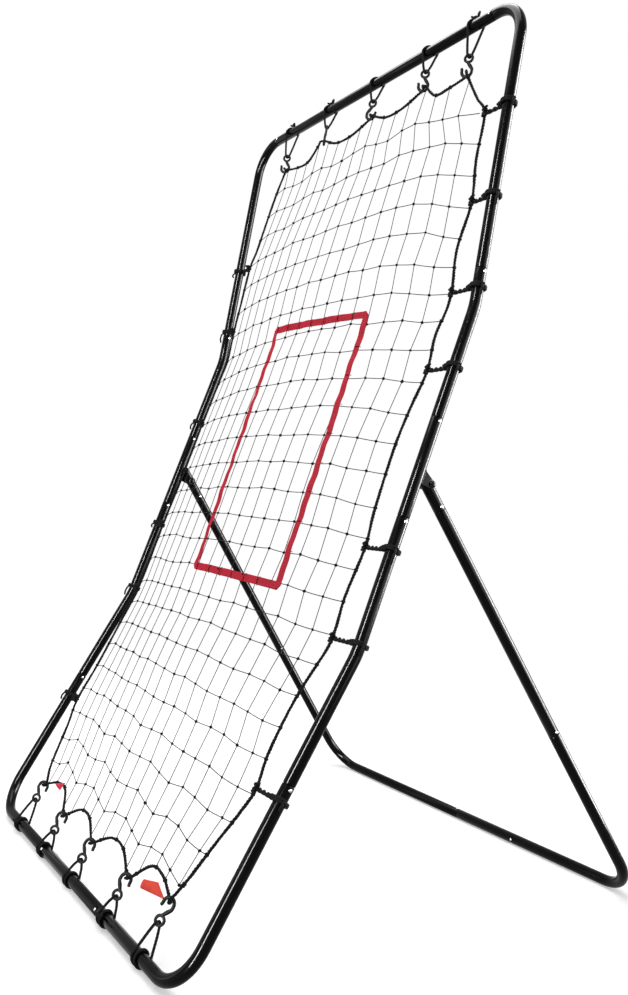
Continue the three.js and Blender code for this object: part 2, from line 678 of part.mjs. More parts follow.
// A tie is one short loop: from the rope round the rail and back to the rope.
function tieSolid(side, s, reach) {
  const ropeX = side * (RAIL_X - reach);
  const spread = 2.2; // the two strands lie side by side on the rail
  const away = Math.PI - Math.acos((WRAP_R * 1.08) / reach);
  const points = wrapPoints(-away, away).map(([out, behind, share]) => (
    [reach + out, behind, spread * (1 - 2 * share)]
  ));
  points.push([-0.6, 1.2, -0.8], [-0.6, -1.2, 0.8]);
  const places = points.map(([u, behind, v]) => onFrame(ropeX + side * u, s + v, behind));
  return toSolid(cordLoop(places, ELASTIC_R, railDirection(s)));
}

const ropeFlat = ropePoints();
const ropeRoute = ropeFlat.map(([x, s, behind]) => onFrame(x, s, behind));

function buildRope() {
  const rope = cordLoop(ropeRoute, ROPE_R, (i) => rearDirection(ropeFlat[i][1]));
  const solids = [toSolid(rope)];
  for (const [s, inset] of RIGHT_TIES) solids.push(tieSolid(1, s, inset));
  for (const [s, inset] of LEFT_TIES) solids.push(tieSolid(-1, s, inset));
  addMesh("border_rope_with_ties", toGeometry(join(solids)), ROPE);
}

// ---- net and strike zone: sheets of bars on one faceted surface ----
function spread(low, high, count) {
  return Array.from({ length: count }, (_, i) => low + ((high - low) * i) / (count - 1));
}

const netEdge = RAIL_X - NET_EDGE_INSET;
const netColumns = [-netEdge, ...NET_COLUMN_X, netEdge];
const netRows = spread(NET_LOW, NET_HIGH, NET_ROWS);

// How far in from the rail the border rope runs at height s, on the right or the left.
function ropeInset(table, s) {
  const rising = [...table].sort((a, b) => a[0] - b[0]);
  const i = Math.min(Math.max(rising.findIndex(([at]) => at >= s), 1), rising.length - 1);
  const [[s0, inset0], [s1, inset1]] = [rising[i - 1], rising[i]];
  return inset0 + ((inset1 - inset0) * (s - s0)) / (s1 - s0);
}

// How far the net stands forward: nothing at the rope, most in the middle.
function swell(x, s) {
  const right = RAIL_X - ropeInset(RIGHT_ROPE, s);
  const left = ropeInset(LEFT_ROPE, s) - RAIL_X;
  const offCentre = Math.min(Math.abs((2 * x - left - right) / (right - left)), 1);
  const share = (length, run) => Math.min(Math.max(length / run, 0), 1);
  const rise = share(s - BOTTOM_OUTER_RISE - HOOK_SEAT, NET_RISE);
  const fall = share(RAIL_RUN - TOP_OUTER_DROP - HOOK_SEAT - s, NET_FALL);
  return NET_BULGE * (1 - offCentre ** 2) * Math.min(rise, 1 - (1 - fall) ** 1.5);
}

// The net hangs in straight runs from knot to knot, so points between knots are interpolated.
function netPoint(x, s, behind) {
  const knot = (knotX, knotS) => onFrame(knotX, knotS, behind - swell(knotX, knotS));
  const first = netColumns[0];
  const last = netColumns[netColumns.length - 1];
  if (x < first || x > last || s < NET_LOW || s > NET_HIGH) return knot(x, s);
  const cell = (lines, value) => {
    const inside = lines.filter((line) => line <= value).length - 1;
    const low = Math.min(Math.max(inside, 0), lines.length - 2);
    return [lines[low], lines[low + 1], (value - lines[low]) / (lines[low + 1] - lines[low])];
  };
  const [x0, x1, across01] = cell(netColumns, x);
  const [s0, s1, along01] = cell(netRows, s);
  const low = knot(x0, s0).lerp(knot(x1, s0), across01);
  return low.lerp(knot(x0, s1).lerp(knot(x1, s1), across01), along01);
}

// A sheet cut by lines into cells; `filled` tells which cells are solid.
function lattice(columnCount, rowCount, filled, corner) {
  const positions = [];
  const indices = [];
  const isFilled = (i, j) => (
    i >= 0 && j >= 0 && i < columnCount - 1 && j < rowCount - 1 && filled(i, j)
  );
  const known = new Map();
  const vertex = (i, j, face) => {
    const key = `${i},${j},${face}`;
    if (!known.has(key)) {
      known.set(key, positions.length / 3);
      positions.push(...corner(i, j, face).toArray());
    }
    return known.get(key);
  };
  const quad = (a, b, c, d) => indices.push(a, b, c, a, c, d);
  for (let i = 0; i < columnCount - 1; i += 1) {
    for (let j = 0; j < rowCount - 1; j += 1) {
      if (!isFilled(i, j)) continue;
      const at = (di, dj, face) => vertex(i + di, j + dj, face);
      quad(at(0, 0, 1), at(1, 0, 1), at(1, 1, 1), at(0, 1, 1));
      quad(at(0, 0, -1), at(0, 1, -1), at(1, 1, -1), at(1, 0, -1));
      if (!isFilled(i, j - 1)) quad(at(0, 0, -1), at(1, 0, -1), at(1, 0, 1), at(0, 0, 1));
      if (!isFilled(i + 1, j)) quad(at(1, 0, -1), at(1, 1, -1), at(1, 1, 1), at(1, 0, 1));
      if (!isFilled(i, j + 1)) quad(at(1, 1, -1), at(0, 1, -1), at(0, 1, 1), at(1, 1, 1));
      if (!isFilled(i - 1, j)) quad(at(0, 1, -1), at(0, 0, -1), at(0, 0, 1), at(0, 1, 1));
    }
  }
  const geometry = new THREE.BufferGeometry();
  geometry.setAttribute("position", new THREE.Float32BufferAttribute(positions, 3));
  geometry.setIndex(indices);
  return geometry;
}

function distanceToRope(point) {
  const nearest = new THREE.Vector3();
  let least = Infinity;
  ropeRoute.forEach((from, i) => {
    const line = new THREE.Line3(from, ropeRoute[(i + 1) % ropeRoute.length]);
    line.closestPointToPoint(point, true, nearest);
    least = Math.min(least, nearest.distanceTo(point));
  });
  return least;
}

// Walks outward from the outermost knot until the twine's end just clears the border rope.
function walkToRope(x, s, stepX, stepS) {
  const clear = ROPE_R + GAP + (TWINE_D / 2) * Math.SQRT2;
  const place = [x, s];
  for (let i = 0; distanceToRope(netPoint(...place, 0)) > clear; i += 1) {
    if (i > 600) throw new Error(`no border rope beyond the knot at ${x}, ${s}`);
    place[0] += stepX;
    place[1] += stepS;
  }
  return place;
}

function buildNet() {
  const half = TWINE_D / 2;
  const columnEdges = netColumns.flatMap((x) => [x - half, x + half]);
  const rowEdges = netRows.flatMap((s) => [s - half, s + half]);
  const step = 0.25;
  const ends = {
    left: netRows.map((s) => walkToRope(netColumns[0] - 2, s, -step, 0)[0]),
    right: netRows.map((s) => walkToRope(netColumns.at(-1) + 2, s, step, 0)[0]),
    low: netColumns.map((x) => walkToRope(x, NET_LOW - 2, 0, -step)[1]),
    high: netColumns.map((x) => walkToRope(x, NET_HIGH + 2, 0, step)[1]),
  };
  const lastColumn = columnEdges.length + 1;
  const lastRow = rowEdges.length + 1;
  const corner = (i, j, face) => {
    const column = Math.floor((i - 1) / 2);
    const row = Math.floor((j - 1) / 2);
    let x = columnEdges[i - 1];
    let s = rowEdges[j - 1];
    if (i === 0) x = ends.left[row];
    if (i === lastColumn) x = ends.right[row];
    if (j === 0) s = ends.low[column];
    if (j === lastRow) s = ends.high[column];
    return netPoint(x, s, face * half);
  };
  const filled = (i, j) => i % 2 === 1 || j % 2 === 1;
  const bars = (i, j) => {
    const onSide = i === 0 || i === lastColumn - 1;
    const onEnd = j === 0 || j === lastRow - 1;
    if (onSide && onEnd) return false;
    if (onSide) return j % 2 === 1;
    return onEnd ? i % 2 === 1 : filled(i, j);
  };
  const net = lattice(lastColumn + 1, lastRow + 1, bars, corner);
  addMesh("net", toGeometry(toSolid(net)), TWINE);

  const between = (lines, low, high) => lines.filter((line) => line > low && line < high);
  const [left, right] = [ZONE_CENTRE - ZONE_W / 2, ZONE_CENTRE + ZONE_W / 2];
  const zoneX = [left, left + WEBBING_W, ...between(netColumns, left + WEBBING_W, right - WEBBING_W),
    right - WEBBING_W, right];
  const zoneS = [ZONE_BOTTOM, ZONE_BOTTOM + WEBBING_W,
    ...between(netRows, ZONE_BOTTOM + WEBBING_W, ZONE_TOP - WEBBING_W), ZONE_TOP - WEBBING_W, ZONE_TOP];
  const frontOfNet = -half - GAP - WEBBING_T / 2;
  const onBorder = (i, count) => i === 0 || i === count - 2;
  const zone = lattice(
    zoneX.length,
    zoneS.length,
    (i, j) => onBorder(i, zoneX.length) || onBorder(j, zoneS.length),
    (i, j, face) => netPoint(zoneX[i], zoneS[j], frontOfNet + (face * WEBBING_T) / 2),
  );
  addMesh("strike_zone_webbing", toGeometry(toSolid(zone)), RED_WEBBING);
}

// Sets the whole part on the ground with its footprint centred on the origin.
function settle() {
  const box = new THREE.Box3().setFromObject(part);
  const centre = box.getCenter(new THREE.Vector3());
  for (const mesh of part.children) mesh.geometry.translate(-centre.x, -centre.y, -box.min.z);
}

buildFrameTubes();
buildLeg();
buildButtons();
buildHangers();
buildRope();
buildNet();
settle();

export default part;
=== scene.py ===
"""Pitching target net: finished pieces, materials and studio round its packed frame.

Lengths are metres. x runs across the net, s up the side rails from the bottom rail, and
"behind" off the rails to the rear. The pitcher stands on the -Y side.
"""

import math

import bpy
import numpy as np
from bpy.props import (
    FloatProperty,
    FloatVectorProperty,
    IntProperty,
    PointerProperty,
)
from mathutils import Matrix, Quaternion, Vector


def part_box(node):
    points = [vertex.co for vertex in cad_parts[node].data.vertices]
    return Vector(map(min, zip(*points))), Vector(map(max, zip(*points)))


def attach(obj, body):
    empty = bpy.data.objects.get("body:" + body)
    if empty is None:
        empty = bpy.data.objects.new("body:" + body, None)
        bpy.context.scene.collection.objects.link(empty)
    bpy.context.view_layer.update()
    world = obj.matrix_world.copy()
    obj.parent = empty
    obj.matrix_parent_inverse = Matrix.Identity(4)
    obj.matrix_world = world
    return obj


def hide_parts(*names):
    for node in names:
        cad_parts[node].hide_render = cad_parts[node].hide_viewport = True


bl_info = {
    "name": "Pitching Target Net",
    "version": (1, 0, 0),
    "blender": (4, 5, 0),
    "location": "3D View > Sidebar > Target Net",
    "description": "Dresses the packed frame of a pitching target net",
    "category": "Object",
}

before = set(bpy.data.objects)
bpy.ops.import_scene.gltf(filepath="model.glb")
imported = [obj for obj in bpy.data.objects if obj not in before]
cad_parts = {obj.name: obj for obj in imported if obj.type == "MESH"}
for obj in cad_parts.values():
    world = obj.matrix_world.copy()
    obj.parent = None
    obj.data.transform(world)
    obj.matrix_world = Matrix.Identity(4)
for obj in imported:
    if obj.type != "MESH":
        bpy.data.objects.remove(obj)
SIDES = {"right": 1, "left": -1}


def middle_of(node):
    """Middle of a CAD node's box."""
    low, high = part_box(node)
    return (Vector(low) + Vector(high)) / 2


BOTTOM_RAIL = middle_of("bottom_centre_tube")
ACROSS = Vector((1, 0, 0))
UPRIGHT = Vector((0, 0, 1))


# ---- sizes and colours that a user would change ----
def length(name, description, default):
    return FloatProperty(
        name=name, description=description, default=default, unit="LENGTH", precision=4
    )


def lean(name, description, degrees):
    return FloatProperty(
        name=name, description=description, default=math.radians(degrees), subtype="ANGLE"
    )


def count(name, description, default):
    return IntProperty(name=name, description=description, default=default, min=1)


def number(name, description, default):
    return FloatProperty(name=name, description=description, default=default)


def colour(name, description, default):
    return FloatVectorProperty(
        name=name, description=description, default=default, subtype="COLOR", min=0, max=1
    )


class FrameSizes(bpy.types.PropertyGroup):
    """Sizes of the tube frame and its rear leg."""

    rail_spacing: length("Rail spacing", "Between the side rails' centre-lines", 0.9)
    tube_diameter: length("Tube diameter", "Outside of every tube", 0.02)
    tube_wall: length("Tube wall", "Thickness of the steel", 0.0012)
    gap: length("Gap", "Between pieces that touch", 0.0003)
    lower_run: length("Lower run", "Side rail below its lower bend", 0.527)
    middle_run: length("Middle run", "Side rail between its bends", 0.592)
    upper_run: length("Upper run", "Side rail above its upper bend", 0.545)
    lower_lean: lean("Lower lean", "Lower run, from upright", 31.5)
    middle_lean: lean("Middle lean", "Middle run, from upright", 20.8)
    upper_lean: lean("Upper lean", "Upper run, from upright", 9.7)
    bend_softness: length("Bend softness", "Rail that curves on each side of a bend", 0.015)
    corner_radius: length("Corner radius", "Bends at the corners", 0.07)
    lower_seam: length("Lower seam", "Up the rail", 0.315)
    hinge_tube_start: length("Hinge tube start", "Up the rail", 0.75)
    hinge_tube_end: length("Hinge tube end", "Up the rail", 0.92)
    upper_seam: length("Upper seam", "Up the rail", 1.184)
    bottom_seam: length("Bottom seam", "From the middle of the bottom rail", 0.154)
    top_seam_inset: length("Top seam inset", "In from the rail's centre-line", 0.074)
    plug_length: length("Plug length", "Drawn-down end inside the next tube", 0.042)
    seam_groove: length("Seam groove", "Open groove at a seam", 0.0015)
    button_radius: length("Button radius", "Spring button", 0.0026)
    button_from_seam: length("Button from seam", "Along the tube", 0.007)
    button_proud: length("Button proud", "Height above the tube", 0.0017)
    hinge_along: length("Hinge along", "Leg's pivot, up the rail", 0.8175)
    hinge_behind: length("Hinge behind", "Leg's pivot, behind the rail", 0.03)
    leg_inset: length("Leg inset", "Pivot, in from the rail's centre-line", 0.0108)
    leg_lean: lean("Leg lean", "Open leg, from upright", 33.8)
    leg_splay: lean("Leg splay", "How far each side of the leg runs outward", 2.2)
    leg_upper_seam: length("Leg upper seam", "Down the leg from its pivot", 0.049)
    leg_lower_seam: length("Leg lower seam", "Down the leg from its pivot", 0.501)
    rivet_x: length("Rivet", "On the leg's base, right of its middle", 0.17)


class NetSizes(bpy.types.PropertyGroup):
    """Sizes of the cords, the hooks, the net and its strike zone."""

    rope_diameter: length("Rope", "Border rope", 0.0055)
    rope_lay: length("Rope lay", "Length of one turn of the rope's strands", 0.0165)
    elastic_diameter: length("Elastic", "Elastic loops and ties", 0.0046)
    twine_diameter: length("Twine", "Net twine", 0.0015)
    knot_diameter: length("Knot", "Knots of the net", 0.0056)
    columns: count("Columns", "Upright twines", 16)
    rows: count("Rows", "Twines across", 26)
    bulge: length("Bulge", "How far the net stands forward", 0.038)
    bulge_rise: length("Bulge rise", "From the bottom rope to its full height", 0.45)
    bulge_fall: length("Bulge fall", "From there to the top rope", 0.4)
    webbing_width: length("Webbing width", "Strike-zone tape", 0.015)
    webbing_thickness: length("Webbing thickness", "Strike-zone tape", 0.0011)
    hook_thickness: length("Hook thickness", "Moulded section", 0.0058)
    hook_length: length("Hook length", "Eye's centre to the outside of the bowl", 0.037)
    hook_width: length("Hook width", "Across the bowl", 0.022)
    eye_radius: length("Eye radius", "Outside of a hook's eye", 0.0095)


class Finishes(bpy.types.PropertyGroup):
    """Colours of the finishes."""

    paint: colour("Paint", "Gloss black powder coat", (0.0014, 0.0014, 0.0016))
    steel: colour("Steel", "Bright zinc plate", (0.3, 0.31, 0.32))
    hook: colour("Hook", "Moulded black plastic", (0.005, 0.005, 0.0055))
    elastic: colour("Elastic", "Braided cover", (0.006, 0.006, 0.0066))
    rope: colour("Rope", "Twisted border rope", (0.007, 0.007, 0.0076))
    twine: colour("Twine", "Net twine", (0.035, 0.035, 0.038))
    knot: colour("Knot", "Tarred knots", (0.009, 0.009, 0.01))
    webbing: colour("Webbing", "Strike-zone tape", (0.52, 0.012, 0.034))
    orange_tag: colour("Orange tag", "Fabric tag on the bottom rope", (0.85, 0.075, 0.05))
    pink_tag: colour("Pink tag", "Fabric tag by the first hook", (0.7, 0.05, 0.09))
    floor: colour("Floor", "Studio floor", (0.86, 0.86, 0.86))


class Studio(bpy.types.PropertyGroup):
    """Lamps and floor."""

    sky: number("Sky", "Strength of the white surround as a light", 0.55)
    overhead: number("Overhead", "Power of the overhead softbox, in watts", 60)
    fill: number("Fill", "Power of the soft lamp at the left, in watts", 14)
    strip: number("Strip", "Power of the front strip that only gloss shows, in watts", 1150)
    rim: number("Rim", "Power of the rear lamps that only gloss shows, in watts", 620)
    floor_glow: number("Floor glow", "What brings the open floor up to white", 0.35)
    floor_radius: length("Floor radius", "Where the floor has faded out", 3.2)


def settings():
    scene = bpy.context.scene
    return scene.target_frame, scene.target_net, scene.target_finishes, scene.target_studio


# ---- the frame's bent surface ----
class Rails:
    """Turns x, s and behind into places in the world."""

    def __init__(self):
        sizes = settings()[0]
        self.radius = sizes.tube_diameter / 2
        self.half = sizes.rail_spacing / 2
        self.leans = np.array([sizes.lower_lean, sizes.middle_lean, sizes.upper_lean])
        self.starts = np.cumsum([0, sizes.lower_run, sizes.middle_run])
        self.end = self.starts[-1] + sizes.upper_run
        self.soft = sizes.bend_softness
        corner = np.array([BOTTOM_RAIL.y, BOTTOM_RAIL.z])
        self.corners = [corner]
        for way, run in zip(self.ways(self.leans), np.diff(self.starts)):
            self.corners.append(self.corners[-1] + way * run)
        self.corners = np.array(self.corners)

    @staticmethod
    def ways(leans):
        return np.stack([np.sin(leans), np.cos(leans)], axis=-1)

    def profile(self, s):
        """Places along the rail's centre-line in the YZ plane, and the lean there."""
        s = np.asarray(s, float)
        which = (s >= self.starts[1]).astype(int) + (s >= self.starts[2])
        leans = self.leans[which]
        places = self.corners[which] + self.ways(leans) * (s - self.starts[which])[..., None]
        for i in (1, 2):
            u = (s - self.starts[i] + self.soft) / (2 * self.soft)
            curved = (u > 0) & (u < 1)
            before = self.corners[i] - self.ways(self.leans[i - 1]) * self.soft
            after = self.corners[i] + self.ways(self.leans[i]) * self.soft
            w = np.clip(u, 0, 1)[..., None]
            arc = before * (1 - w) ** 2 + self.corners[i] * 2 * w * (1 - w) + after * w**2
            places = np.where(curved[..., None], arc, places)
            turned = self.leans[i - 1] + (self.leans[i] - self.leans[i - 1]) * np.clip(u, 0, 1)
            leans = np.where(curved, turned, leans)
        return places, leans

    def place(self, x, s, behind=0.0):
        """Array of places for arrays of x, s and behind."""
        x, s, behind = np.broadcast_arrays(*(np.asarray(v, float) for v in (x, s, behind)))
        places, leans = self.profile(s)
        y = places[..., 0] + np.cos(leans) * behind
        z = places[..., 1] - np.sin(leans) * behind
        return np.stack([x, y, z], axis=-1)

    def at(self, x, s, behind=0.0):
        """One place, as a Vector."""
        return Vector(self.place(x, s, behind))

    def up(self, s):
        lean_here = float(self.profile(s)[1])
        return Vector((0, math.sin(lean_here), math.cos(lean_here)))

    def rear(self, s):
        lean_here = float(self.profile(s)[1])
        return Vector((0, math.cos(lean_here), -math.sin(lean_here)))


# ---- making and finishing objects ----
def deselect():
    if bpy.context.object and bpy.context.object.mode != "OBJECT":
        bpy.ops.object.mode_set(mode="OBJECT")
    bpy.ops.object.select_all(action="DESELECT")


def select(obj):
    deselect()
    obj.select_set(True)
    bpy.context.view_layer.objects.active = obj


def settle(obj, name):
    """Names a new object and puts its place into its mesh."""
    obj.name = name
    obj.data.name = name
    select(obj)
    bpy.ops.object.transform_apply(location=True, rotation=True, scale=True)
    return obj


def add_to_scene(name, data):
    """A new object for a mesh, a lamp's data or a camera's data."""
    obj = bpy.data.objects.new(name, data)
    bpy.context.collection.objects.link(obj)
    return obj


def draw_circle(sides, radius, place, turn=(0, 0, 0), fill="NOTHING"):
    """Adds a circle and stays in edit mode with its points selected."""
    deselect()
    bpy.ops.mesh.primitive_circle_add(
        vertices=sides, radius=radius, fill_type=fill, location=place, rotation=turn
    )
    bpy.ops.object.transform_apply(location=True, rotation=True, scale=True)
    bpy.ops.object.mode_set(mode="EDIT")
    bpy.ops.mesh.select_mode(type="VERT")
    bpy.ops.mesh.select_all(action="SELECT")


def select_points(obj, chosen):
    """Stays in edit mode with those points selected for which `chosen` is true."""
    select(obj)
    bpy.ops.object.mode_set(mode="EDIT")
    bpy.ops.mesh.select_mode(type="VERT")
    bpy.ops.mesh.select_all(action="DESELECT")
    bpy.ops.object.mode_set(mode="OBJECT")
    for vertex in obj.data.vertices:
        vertex.select = chosen(vertex.co)
    bpy.ops.object.mode_set(mode="EDIT")


def modify(obj, kind, **options):
    """Adds a modifier and applies it."""
    select(obj)
    modifier = obj.modifiers.new(kind.title(), kind)
    for option, value in options.items():
        setattr(modifier, option, value)
    bpy.ops.object.modifier_apply(modifier=modifier.name)


def ease_edges(obj, width, degrees, segments=2):
    """Bevels the edges that turn by more than `degrees`."""
    modify(obj, "BEVEL", width=width, segments=segments, limit_method="ANGLE",
           angle_limit=math.radians(degrees))


def face_outward(obj):
    """Merges doubled points and turns every face outward."""
    select(obj)
    bpy.ops.object.mode_set(mode="EDIT")
    bpy.ops.mesh.select_all(action="SELECT")
    bpy.ops.mesh.remove_doubles(threshold=1e-6)
    bpy.ops.mesh.normals_make_consistent(inside=False)
    bpy.ops.object.mode_set(mode="OBJECT")


def smooth(obj, degrees=38):
    select(obj)
    bpy.ops.object.shade_smooth_by_angle(angle=math.radians(degrees))


def dress(obj, material, body, slot, *nodes):
    """Gives a piece its finish, the body it rides on and the CAD nodes it stands for."""
    obj.data.materials.clear()
    obj.data.materials.append(material)
    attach(obj, body)
    if nodes:
        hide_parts(*nodes)
    return obj


def copy_to(master, name, matrix):
    """A copy with its own mesh, placed by `matrix`."""
    mesh = master.data.copy()
    mesh.name = name
    mesh.transform(matrix)
    if matrix.determinant() < 0:
        mesh.flip_normals()
    return add_to_scene(name, mesh)


def discard(obj):
    """Deletes an object that only helped to make another."""
    bpy.data.objects.remove(obj, do_unlink=True)


def axes(x_axis, y_axis, z_axis, origin):
    """Matrix whose columns are three directions and a place."""
    matrix = Matrix((x_axis, y_axis, z_axis)).transposed().to_4x4()
    matrix.translation = origin
    return matrix


def standing(direction, origin):
    """Matrix that turns what stands along +Z to stand along `direction` at `origin`."""
    matrix = direction.to_track_quat("Z", "Y").to_matrix().to_4x4()
    matrix.translation = origin
    return matrix


class TubeRun:
    """A tube drawn in edit mode from a circle, one run or bend after the other."""

    def __init__(self, start, way, radius, sides=32):
        draw_circle(sides, radius, start, way.to_track_quat("Z", "Y").to_euler())
        self.place, self.way, self.radius = Vector(start), way.normalized(), radius

    def run(self, distance, radius=None):
        step = self.way * distance
        bpy.ops.mesh.extrude_region_move(TRANSFORM_OT_translate={"value": step})
        self.place += step
        if radius:
            share = radius / self.radius
            bpy.ops.transform.resize(value=(share, share, share), center_override=self.place)
            self.radius = radius
        return self

    def bend(self, toward, angle, bend_radius, steps):
        """Turns by `angle` toward a direction; the spin operator counts its angle the other way."""
        inward = (toward - self.way * toward.dot(self.way)).normalized()
        axis = self.way.cross(inward)
        centre = self.place + inward * bend_radius
        bpy.ops.mesh.spin(steps=steps, angle=-angle, center=centre, axis=axis)
        turn = Quaternion(axis, angle)
        self.place = centre + turn @ (self.place - centre)
        self.way = turn @ self.way
        return self

    def finish(self, name, capped=False):
        if capped:
            bpy.ops.mesh.select_all(action="SELECT")
            bpy.ops.mesh.fill_holes(sides=0)
        bpy.ops.object.mode_set(mode="OBJECT")
        obj = settle(bpy.context.object, name)
        face_outward(obj)
        return obj


def turned(name, outline, sides=32):
    """A solid turned on +Z: circle after circle of the outline's (radius, height) pairs."""
    radius, height = outline[0]
    draw_circle(sides, radius, (0, 0, height), fill="NGON")
    for next_radius, next_height in outline[1:]:
        rise = (0, 0, next_height - height)
        bpy.ops.mesh.extrude_region_move(TRANSFORM_OT_translate={"value": rise})
        share = next_radius / radius
        centre = (0, 0, next_height)
        bpy.ops.transform.resize(value=(share, share, 1), center_override=centre)
        radius, height = next_radius, next_height
    bpy.ops.object.mode_set(mode="OBJECT")
    obj = settle(bpy.context.object, name)
    face_outward(obj)
    return obj


# ---- cords ----
def unit(vectors):
    return vectors / np.linalg.norm(vectors, axis=-1, keepdims=True)


def curve_through(points, step, closed=False):
    """Smooth curve through the points, cut at about every `step`."""
    points = np.asarray(points, float)
    count_of = len(points)
    spans = count_of if closed else count_of - 1
    index = (lambda i: i % count_of) if closed else (lambda i: min(max(i, 0), count_of - 1))
    made = []
    for i in range(spans):
        a, b, c, d = (points[index(i + k)] for k in (-1, 0, 1, 2))
        cuts = max(2, int(round(np.linalg.norm(c - b) / step)))
        t = (np.arange(cuts) / cuts)[:, None]
        made.append(
            0.5 * (2 * b + (c - a) * t + (2 * a - 5 * b + 4 * c - d) * t**2
                   + (3 * b - a - 3 * c + d) * t**3)
        )
    if not closed:
        made.append(points[-1:])
    return np.concatenate(made)


def evenly(line, step, closed=False):
    """The same line, cut into equal lengths of about `step`."""
    if closed:
        line = np.concatenate([line, line[:1]])
    along = np.concatenate([[0], np.cumsum(np.linalg.norm(np.diff(line, axis=0), axis=1))])
    cuts = max(2, int(round(along[-1] / step)))
    marks = np.linspace(0, along[-1], cuts + 1)
    if closed:
        marks = marks[:-1]
    return np.stack([np.interp(marks, along, line[:, k]) for k in range(3)], axis=1)


def carried(line, closed=False):
    """Directions along a line, and a pair of normals carried along it without twist."""
    ahead = np.roll(line, -1, axis=0) - line
    back = line - np.roll(line, 1, axis=0)
    if not closed:
        ahead[-1], back[0] = back[-1], ahead[0]
    ways = unit(unit(ahead) + unit(back))
    normal = np.cross(ways[0], [0.31, 0.17, 0.93])
    normals = np.empty_like(ways)
    for i, way in enumerate(ways):
        normal = normal - way * normal.dot(way)
        normal /= np.linalg.norm(normal)
        normals[i] = normal
    if closed:
        normal = normal - ways[0] * normal.dot(ways[0])
        normal /= np.linalg.norm(normal)
        miss = math.atan2(normal.dot(np.cross(ways[0], normals[0])), normal.dot(normals[0]))
        turn = -miss * np.arange(len(line))[:, None] / len(line)
        normals = np.cos(turn) * normals + np.sin(turn) * np.cross(ways, normals)
    return ways, normals, np.cross(ways, normals)


class Cordage:
    """Gathers swept cords in one mesh, with the length along U and the turn round along V."""

    def __init__(self):
        self.points, self.faces, self.uvs, self.total = [], [], [], 0

    def shape(self, points, faces):
        """Adds any other closed shape."""
        points = np.asarray(points, float)
        self.points.append(points)
        for face in faces:
            self.faces.append([int(i) + self.total for i in face])
            self.uvs.extend((0.001 * i, 0.2 * (i % 5)) for i in range(len(face)))
        self.total += len(points)

    def cord(self, line, radius, sides=8, closed=False):
        """Adds a round cord along a line; `radius` is one value or one for each point."""
        line = np.asarray(line, float)
        _, normals, sideways = carried(line, closed)
        angles = np.arange(sides) * 2 * math.pi / sides
        spokes = (
            np.cos(angles)[None, :, None] * normals[:, None]
            + np.sin(angles)[None, :, None] * sideways[:, None]
        )
        radii = np.broadcast_to(np.asarray(radius, float), len(line))[:, None, None]
        self.points.append((line[:, None] + radii * spokes).reshape(-1, 3))
        rings = len(line)
        steps = np.linalg.norm(np.diff(line, axis=0, append=line[:1]), axis=1)
        along = np.concatenate([[0], np.cumsum(steps)])
        spans = rings if closed else rings - 1
        i, k = np.meshgrid(np.arange(spans), np.arange(sides), indexing="ij")
        j, m = (i + 1) % rings, (k + 1) % sides
        quads = np.stack([i * sides + k, i * sides + m, j * sides + m, j * sides + k], axis=-1)
        self.faces.extend((quads.reshape(-1, 4) + self.total).tolist())
        low, high = along[i], along[i + 1]
        uv = np.stack(
            [np.stack([low, low, high, high], -1), np.stack([k, k + 1, k + 1, k], -1) / sides], -1
        )
        self.uvs.extend(uv.reshape(-1, 2).tolist())
        self.total += rings * sides
        if not closed:
            self._cap(line[0], range(sides), False, rings * sides)
            self._cap(line[-1], range((rings - 1) * sides, rings * sides), True, rings * sides)

    def _cap(self, centre, ring, forward, ring_points):
        base = self.total - ring_points - (1 if forward else 0)
        self.points.append(np.asarray(centre, float)[None])
        hub = self.total
        self.total += 1
        ring = [base + i for i in ring]
        for a, b in zip(ring, ring[1:] + ring[:1]):
            self.faces.append([hub, a, b] if forward else [hub, b, a])
            self.uvs.extend([(0, 0), (0, 0.1), (0, 0.2)])

    def make(self, name):
        mesh = bpy.data.meshes.new(name)
        mesh.from_pydata(np.concatenate(self.points).tolist(), [], self.faces)
        layer = mesh.uv_layers.new(name="cord")
        layer.data.foreach_set("uv", np.asarray(self.uvs, float).ravel())
        mesh.shade_smooth()
        return add_to_scene(name, mesh)


def rounded_ends(line, radius):
    """Radii of a cord whose two ends are rounded off."""
    radii = np.full(len(line), radius)
    radii[[0, -1]] *= 0.45
    radii[[1, -2]] *= 0.85
    return radii


def knot_line(centre, x_axis, y_axis, size, step=0.0008):
    """Centre-line of an overhand knot pulled tight: a trefoil, about `size` across."""
    t = np.linspace(0, 2 * math.pi, 40, endpoint=False)
    x_axis, y_axis = np.array(x_axis, float), np.array(y_axis, float)
    flat_x = (np.sin(t) + 2 * np.sin(2 * t)) / 3
    flat_y = (np.cos(t) - 2 * np.cos(2 * t)) / 3
    out = np.cross(x_axis, y_axis)
    line = (
        flat_x[:, None] * x_axis * 0.5 + flat_y[:, None] * y_axis * 0.5
        - np.sin(3 * t)[:, None] * out * 0.3
    )
    return evenly(np.array(centre, float) + line * size * 0.62, step, closed=True)


# ---- finishes ----
class Signal:
    """A value on its way through a shader; arithmetic on it adds Math nodes."""

    def __init__(self, finish, socket):
        self.finish, self.socket = finish, socket

    def _math(self, operation, first, second=0.0):
        return self.finish.node(
            "ShaderNodeMath", {"operation": operation}, {0: first, 1: second}
        )

    def __add__(self, other):
        return self._math("ADD", self, other)

    def __sub__(self, other):
        return self._math("SUBTRACT", self, other)

    def __mul__(self, other):
        return self._math("MULTIPLY", self, other)

    def __rsub__(self, other):
        return self._math("SUBTRACT", other, self)

    __radd__ = __add__
    __rmul__ = __mul__

    def sine(self):
        return self._math("SINE", self)

    def size(self):
        return self._math("ABSOLUTE", self)

    def over(self, threshold):
        return self._math("GREATER_THAN", self, threshold)

    def larger(self, other):
        return self._math("MAXIMUM", self, other)


